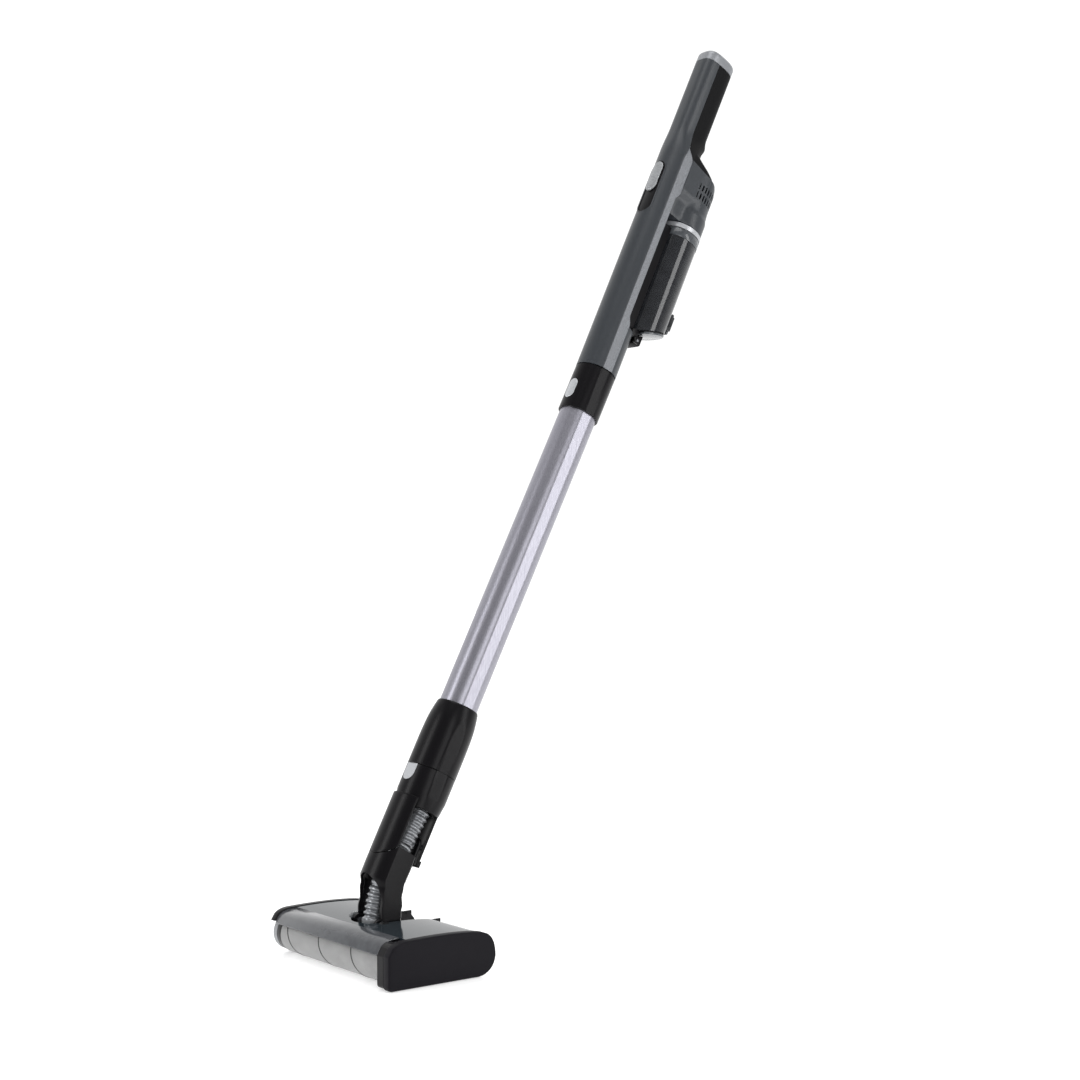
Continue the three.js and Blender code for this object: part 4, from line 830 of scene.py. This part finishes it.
# straps that reach down past the hoses, and the hook on the back one
back_strap = grid_plate(12, lambda x: 77, lambda x: 139, 26.3, 3.2, 14, 8, 1)
piece("neck_back_strap", rounded(back_strap, 0.4, 2, 60), "stick", "neck", black_abs)
front_strap = grid_plate(12.6, lambda x: 80, lambda x: 140, 27.6, 2.4, 14, 8, -1)
piece("neck_front_strap", rounded(front_strap, 0.4, 2, 60), "stick", "neck", black_abs)
piece("neck_hook", rounded(prism([(-9, 22.8), (9, 22.8), (9, 28.2), (-9, 28.2)], 75.5, 83), 0.8, 3), "stick",
      "neck", black_abs)

# ------------------------------------------------------------------ yoke
def line_at(points, t):
    """Value at t along a line of (t, value) points with t rising."""
    for (t0, v0), (t1, v1) in zip(points, points[1:]):
        if t <= t1:
            return v0 + (v1 - v0) * smooth_step((t - t0) / (t1 - t0))
    return points[-1][1]


# front face, back edge and bow of the yoke, as (station, value) points
FORWARD = [(-9, 6.5), (0, -0.5), (20, -8), (37, -14), (46, -17.6), (60, -17.9), (88, -17.9)]
REARWARD = [(-9, 12), (-5, 19), (6, 22.4), (14, 22.2), (27, 17.6), (41, 11.2), (52, 8.8), (88, 8.8)]
BULGE = [(-9, 0), (20, 4), (37, 9), (46, 12.4), (88, 12.4)]
BOW_ANGLE = 54


def yoke_section(t):
    """U-shaped section of the yoke: bowed front, sides that turn in a little behind a crease."""
    front, back, bow = line_at(FORWARD, t), line_at(REARWARD, t), line_at(BULGE, t)
    crease = min(back - 3, max(front + 2, -8.5 + (front + 17.9) * 0.9))
    spread = math.radians(BOW_ANGLE)
    outer = []
    for degrees in range(-BOW_ANGLE, BOW_ANGLE + 1, 6):
        a = math.radians(degrees)
        rise = (math.cos(a) - math.cos(spread)) / (1 - math.cos(spread))
        outer.append((YOKE_HALF * math.sin(a) / math.sin(spread), front - bow * rise))
    right = [(YOKE_HALF, crease), (YOKE_HALF - 0.9, back - 1.5), (YOKE_HALF - 2.4, back)]
    inner_right = [(19.4, back), (20.6, crease), (20.9, front + 3)]
    inner = [(x * 0.85, y + 2.6) for x, y in reversed(outer)][1:-1]
    left = [(-x, y) for x, y in reversed(right + inner_right)]
    return [(x, y, t) for x, y in outer + right + inner_right + inner + left]


yoke_rows = [yoke_section(t) for t in stations((-9, 0, 6), (0, 52, 18), (52, 87.6, 4))]
yoke = piece("yoke_shell", rounded(loft(yoke_rows), 0.8, 3, 48), "stick", "yoke", black_abs,
             ["yoke_frame", "yoke_cover"], sharp=40)
arch = prism([(21, -30)] + arc(0, 26, 21, 0, 180, 30) + [(-21, -30)], -60, 8, "Y")
gap_cut = turned([(0, -40), (27.9, -40), (27.9, 40), (0, 40)], 96, "Y", (0, 0, SWIVEL))
carve(yoke, [(arch, "stick"), (gap_cut, "stick")])
soften_edges(yoke, 0.7, 2, 50)
piece("pivot_hub", turned([(0, -30.6), (7.2, -30.6), (8.6, -29.4), (8.6, -25.2), (8, -24.7), (0, -24.7)],
                          48, "X"), "stick", "yoke", clear_plastic)

# block inside the top of the yoke that carries the swivel's lugs
block_outline = arc(0, 0, 24, -134, -46, 11) + [(17, 8.6), (9, 18.4), (-9, 18.4), (-17, 8.6)]
block_piece = piece("yoke_block", rounded(prism(block_outline, 54, 66), 0.8, 2), "stick", "yoke", black_abs)
carve(block_piece, [(turned([(0, 40), (13.7, 40), (13.7, 80), (0, 80)], 64, centre=(0, -1.8, 0)), "stick")])
piece("swivel_lug_front", rounded(prism(slot_outline(6, 56, SWIVEL + 6), -19.8, -16.4, "Y"), 0.5, 2),
      "stick", "yoke", black_abs)
piece("swivel_lug_back", rounded(prism(slot_outline(9, 56, SWIVEL + 9), 15.2, 18.6, "Y"), 0.5, 2),
      "stick", "yoke", black_abs)
for side, label in SIDES:
    eye = turned([(4, 19), (7.2, 19), (7.6, 19.4), (7.6, 23.6), (7.2, 24), (4, 24), (4, 19)], 48, "X")
    if side < 0:
        eye.transform(Matrix.Scale(-1, 4, (1, 0, 0)))
    piece(f"pivot_eye_{label}", eye, "stick", "yoke", black_abs)


def hose(name, path, radius, pitch, replaces):
    """A corrugated hose that runs between two bodies along a curving (y, z) path of the stick."""
    line = [Vector((0, y, z)) for y, z in curve_through(path, 24)]
    spans = [(b - a).length for a, b in zip(line, line[1:])]
    total = sum(spans)
    rings = int(total / pitch * 10)
    rib = 2.3
    outlines = []
    for k in range(rings + 1):
        along = total * k / rings
        want, index = along, 0
        while index < len(spans) - 1 and want > spans[index]:
            want -= spans[index]
            index += 1
        at = line[index].lerp(line[index + 1], min(1, want / spans[index]))
        heading = (line[min(index + 2, len(line) - 1)] - line[max(index - 1, 0)]).normalized()
        side_y = Vector((0, heading.z, -heading.y))
        wave = 0.5 + 0.5 * math.cos(2 * math.pi * along / pitch)
        r = radius - rib + rib * wave ** 0.7
        outlines.append([at + Vector((r * math.cos(a), 0, 0)) + side_y * (r * math.sin(a))
                         for a in (2 * math.pi * j / 40 for j in range(40))])
    made = placed(name, loft(outlines, caps=False), "stick")
    shade(made.data, 180)
    made.data.materials.append(bellows)
    give_wall(made, 1.2)
    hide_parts(replaces)
    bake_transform(made)


HOSE_RADIUS = 12.2
HOSE_PITCH = 6.6  # from rib to rib
hose("lower_bellows", [(4.6, -2), (1.2, 14), (-2.6, 30), (-4.4, 45), (-3, 62), (0.4, 85), (1.6, 92)],
     HOSE_RADIUS, HOSE_PITCH, "lower_hose")
hose("upper_bellows", [(1.8, 93), (2.6, 107), (4.4, 122), (6.5, 146)], HOSE_RADIUS, HOSE_PITCH,
     "upper_hose")


# ------------------------------------------------------------------ floor head
def head_side(inset):
    """Side outline of the head in (y, z), drawn in by an inset."""
    front, back, top = HEAD_FRONT + inset, HEAD_BACK - inset, 50 - inset

    def bend(p0, p1, p2, count=8):
        """A curve that leaves p0 towards p1 and ends at p2."""
        return [((1 - t) ** 2 * p0[0] + 2 * t * (1 - t) * p1[0] + t * t * p2[0],
                 (1 - t) ** 2 * p0[1] + 2 * t * (1 - t) * p1[1] + t * t * p2[1])
                for t in (k / count for k in range(1, count + 1))]
    line = [(front + 5, inset), (back - 22, inset)]
    line += bend(line[-1], (back - 3, inset + 2), (back, 20))
    line += bend(line[-1], (back, top - 12), (back - 10, top - 6))
    line += bend(line[-1], (back - 16, top - 3), (back - 26, top - 2))
    line += bend(line[-1], (back - 60, top + 1.5), (front + 20, top - 1), 14)
    line += bend(line[-1], (front + 10, top - 2), (front + 5, top - 7))
    line += [(front, top - 15), (front, inset + 5)]
    line += bend(line[-1], (front, inset), (front + 5, inset), 4)[:-1]
    return line


right_cap = prism(head_side(0), 110.5, CAP_OUT, "X")
piece("right_cap", rounded(right_cap, 2.2, 4, 60), "head", "floor_head", matt_black,
      ["right_end_cap"], sharp=30)
left_cap = piece("left_cap", rounded(prism(head_side(0), -CAP_OUT, -112.3, "X"), 1.6, 3, 60),
                 "head", "floor_head", black_abs, ["left_end_cap"], sharp=30)
bay = turned([(0, -140), (23.6, -140), (23.6, 99), (0, 99)], 96, "X", ROLLER_AXIS)
carve(left_cap, [(bay, "head"), (prism([(-80, -2), (-43.5, -2), (-26.5, -2), (-26.5, 8), (-43.5, 12),
                                        (-43.5, 36), (-80, 36)], -140, -100, "X"), "head")])

# glossy top with the well for the neck
top_line = sorted(p for p in head_side(0.8) if p[1] > 44 and p[0] > -40)
top_outline = top_line + [(y, z - 2.4) for y, z in reversed(top_line)]
cover = piece("top_cover", prism(top_outline, -112, 110.2, "X"), "head", "floor_head", gloss_cover,
              ["head_top_cover"], sharp=30)
carve(cover, [(prism(arc(0, -5, 27.5, 180, 360, 24) + [(27.5, 80), (-27.5, 80)], 20, 60), "head")])

# clear strip that rolls down over the front of the roller
window_line = sorted(p for p in head_side(0.8) if p[0] <= -38 and p[1] > 34)
inner_line = [(y + 1.6, z - 1.4) for y, z in reversed(window_line)]
piece("front_strip", rounded(prism(window_line + inner_line, -112, 98, "X"), 0.4, 2, 50),
      "head", "floor_head", window_clear, ["front_window"], sharp=40)

# ------------------------------------------------------------------ roller and plug
pile = turned([(15.3, -104), (20.8, -104), (ROLLER_RADIUS, -103.2), (ROLLER_RADIUS, 96.2), (20.8, 97),
               (15.3, 97), (15.3, -104)], 128, "X", ROLLER_AXIS)
piece("roller_pile", pile, "head", "roller", velvet, ["roller_sleeve"], sharp=40)


def bristle_line(turns, count=230):
    """A row of tufts set in the roller's helical groove."""
    bm = bmesh.new()
    for k in range(count):
        share = k / (count - 1)
        tuft = bmesh.ops.create_cone(bm, cap_ends=True, segments=5, radius1=1.9, radius2=1.0,
                                     depth=2.2)["verts"]
        spot = (Matrix.Translation((-102.5 + 198 * share, ROLLER_Y, ROLLER_Z))
                @ Matrix.Rotation(2 * math.pi * turns * share, 4, "X")
                @ Matrix.Translation((0, 0, ROLLER_RADIUS - 0.88)))
        bmesh.ops.transform(bm, matrix=spot, verts=tuft)
    return bm


piece("bristle_row", bristle_line(3), "head", "roller", rubber, sharp=40)
hub_profile = [(6.5, -113), (20.2, -113), (20.6, -112), (20.6, -104.6), (15, -104.4), (15, 97), (6.6, 97),
               (6.6, 80), (12.5, 79), (12.5, -80), (6.5, -81), (6.5, -113)]
piece("roller_hub", turned(hub_profile, 64, "X", ROLLER_AXIS), "head", "roller", black_abs,
      ["roller_core"])
plug_profile = [(0, -122.3), (19.2, -122.3), (20.4, -121.4), (20.4, -114), (6, -114), (6, -90), (0, -90)]
piece("plug_disc", turned(plug_profile, 96, "X", ROLLER_AXIS), "head", "roller_plug", pale_grey,
      ["roller_end_plug"])
collar = turned([(9.9, 37.8), (13.2, 37.8), (13.2, 42), (13.7, 42.3), (14, 43), (14, 49.6), (13.3, 50.3),
                 (9.9, 50.3), (9.9, 37.8)], 72, centre=(0, -7, 0))
piece("bellows_collar", collar, "head", "floor_head", pale_grey, ["hose_collar"])

# ------------------------------------------------------------------ finishes of the other pieces
kept = {
    "suction_duct": black_abs, "charging_contacts": black_abs, "battery_cell_1": wrap, "battery_cell_2": wrap,
    "battery_cell_3": wrap, "battery_cell_4": wrap, "control_board": board, "motor_mount_ring": black_abs,
    "fan_motor": steel, "impeller": pale_grey, "pleated_filter": paper, "door_hinge_pin": steel,
    "door_seal": rubber, "wand_wire_channel": black_abs, "wand_button_spring": steel,
    "connector_spigot": black_abs, "swivel_pin_front": steel, "swivel_pin_rear": steel,
    "neck_button_spring": steel, "head_chassis": black_abs, "pivot_pin_left": steel, "pivot_pin_right": steel,
    "rear_squeegee": rubber, "head_motor": steel, "drive_belt": rubber, "motor_pulley": steel,
    "drive_coupler": black_abs, "rear_wheel_left": rubber, "rear_wheel_right": rubber,
}
for name, look in kept.items():
    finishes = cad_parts[name].data.materials
    if not finishes:
        finishes.append(look)
    for k in range(len(finishes)):
        finishes[k] = look

# ------------------------------------------------------------------ studio
floor_z = cad_box[0][2] - 0.5 * MM
floor_bm = bmesh.new()
bmesh.ops.create_grid(floor_bm, x_segments=1, y_segments=1, size=12)
bmesh.ops.translate(floor_bm, verts=floor_bm.verts, vec=(0, 0, floor_z))
floor_mesh = bpy.data.meshes.new("studio_floor")
floor_bm.to_mesh(floor_mesh)
floor_bm.free()
floor_obj = bpy.data.objects.new("studio_floor", floor_mesh)
bpy.context.scene.collection.objects.link(floor_obj)
floor_look, tree, principled, place = material("white studio floor", Roughness=0.1, IOR=1.4)
sweep_tone = node(tree, "ShaderNodeTexNoise", {"Scale": 0.6, "Detail": 1.0}, Vector=place)
speckle(tree, principled, sweep_tone, "#f4f4f4", "#f8f8f8")
principled.inputs["Emission Color"].default_value = (1, 1, 1, 1)
principled.inputs["Emission Strength"].default_value = 0.45
floor_mesh.materials.append(floor_look)

world = bpy.data.worlds.new("white studio")
bpy.context.scene.world = world
world.use_nodes = True

AZIMUTH = math.radians(52.04)
ELEVATION = math.radians(-0.88)


def outward(turn, rise):
    """The direction from the object at a turn from its front and a rise from level."""
    return Vector((math.sin(turn) * math.cos(rise), -math.cos(turn) * math.cos(rise), math.sin(rise)))


toward_camera = outward(AZIMUTH, ELEVATION)
to_right = Vector((math.cos(AZIMUTH), math.sin(AZIMUTH), 0))
upward = toward_camera.cross(to_right)

# The room is white behind the object and grey on the side that its dark faces mirror.
sky = world.node_tree
heading = node(sky, "ShaderNodeTexCoord").outputs["Generated"]
facing = node(sky, "ShaderNodeVectorMath", {"operation": "DOT_PRODUCT"}, Vector=heading)
facing.inputs[1].default_value = -toward_camera
glow = node(sky, "ShaderNodeMapRange", {"From Min": -0.2, "From Max": 0.5, "To Min": 0.3, "To Max": 1.1},
            Value=facing.outputs["Value"])
sky.links.new(glow.outputs["Result"], sky.nodes["Background"].inputs["Strength"])
sky.nodes["Background"].inputs["Color"].default_value = (1, 1, 1, 1)

camera_data = bpy.data.cameras.new("camera")
camera = bpy.data.objects.new("camera", camera_data)
bpy.context.scene.collection.objects.link(camera)
camera.matrix_world = (Matrix.Translation(HEAD @ Vector((1634.3, -1052.8, 432.9)))
                       @ Matrix((to_right, upward, toward_camera)).transposed().to_4x4())
camera_data.sensor_width = 36
camera_data.lens = 58.76
camera_data.clip_end = 60
bpy.context.scene.camera = camera


def softbox(name, azimuth, elevation, distance, width, height, power, aim=(0, -0.2, -0.4)):
    """A rectangular light on a sphere round the object, azimuth measured from the camera."""
    away = outward(AZIMUTH + math.radians(azimuth), math.radians(elevation))
    data = bpy.data.lights.new(name, "AREA")
    data.shape = "RECTANGLE"
    data.size = width
    data.size_y = height
    data.energy = power
    lamp = bpy.data.objects.new(name, data)
    lamp.matrix_world = (Matrix.Translation(Vector(aim) + away * distance)
                         @ away.to_track_quat("Z", "Y").to_matrix().to_4x4())
    bpy.context.scene.collection.objects.link(lamp)


softbox("left_box", -68, 8, 2.6, 0.8, 2.8, 34)
softbox("right_box", 63, 8, 2.6, 0.8, 2.8, 30)
softbox("front_strip_light", 15, 6, 3.0, 1.0, 2.8, 26)
softbox("top_box", 10, 78, 3.0, 2.2, 2.2, 40)
bpy.context.scene.view_settings.view_transform = "Standard"
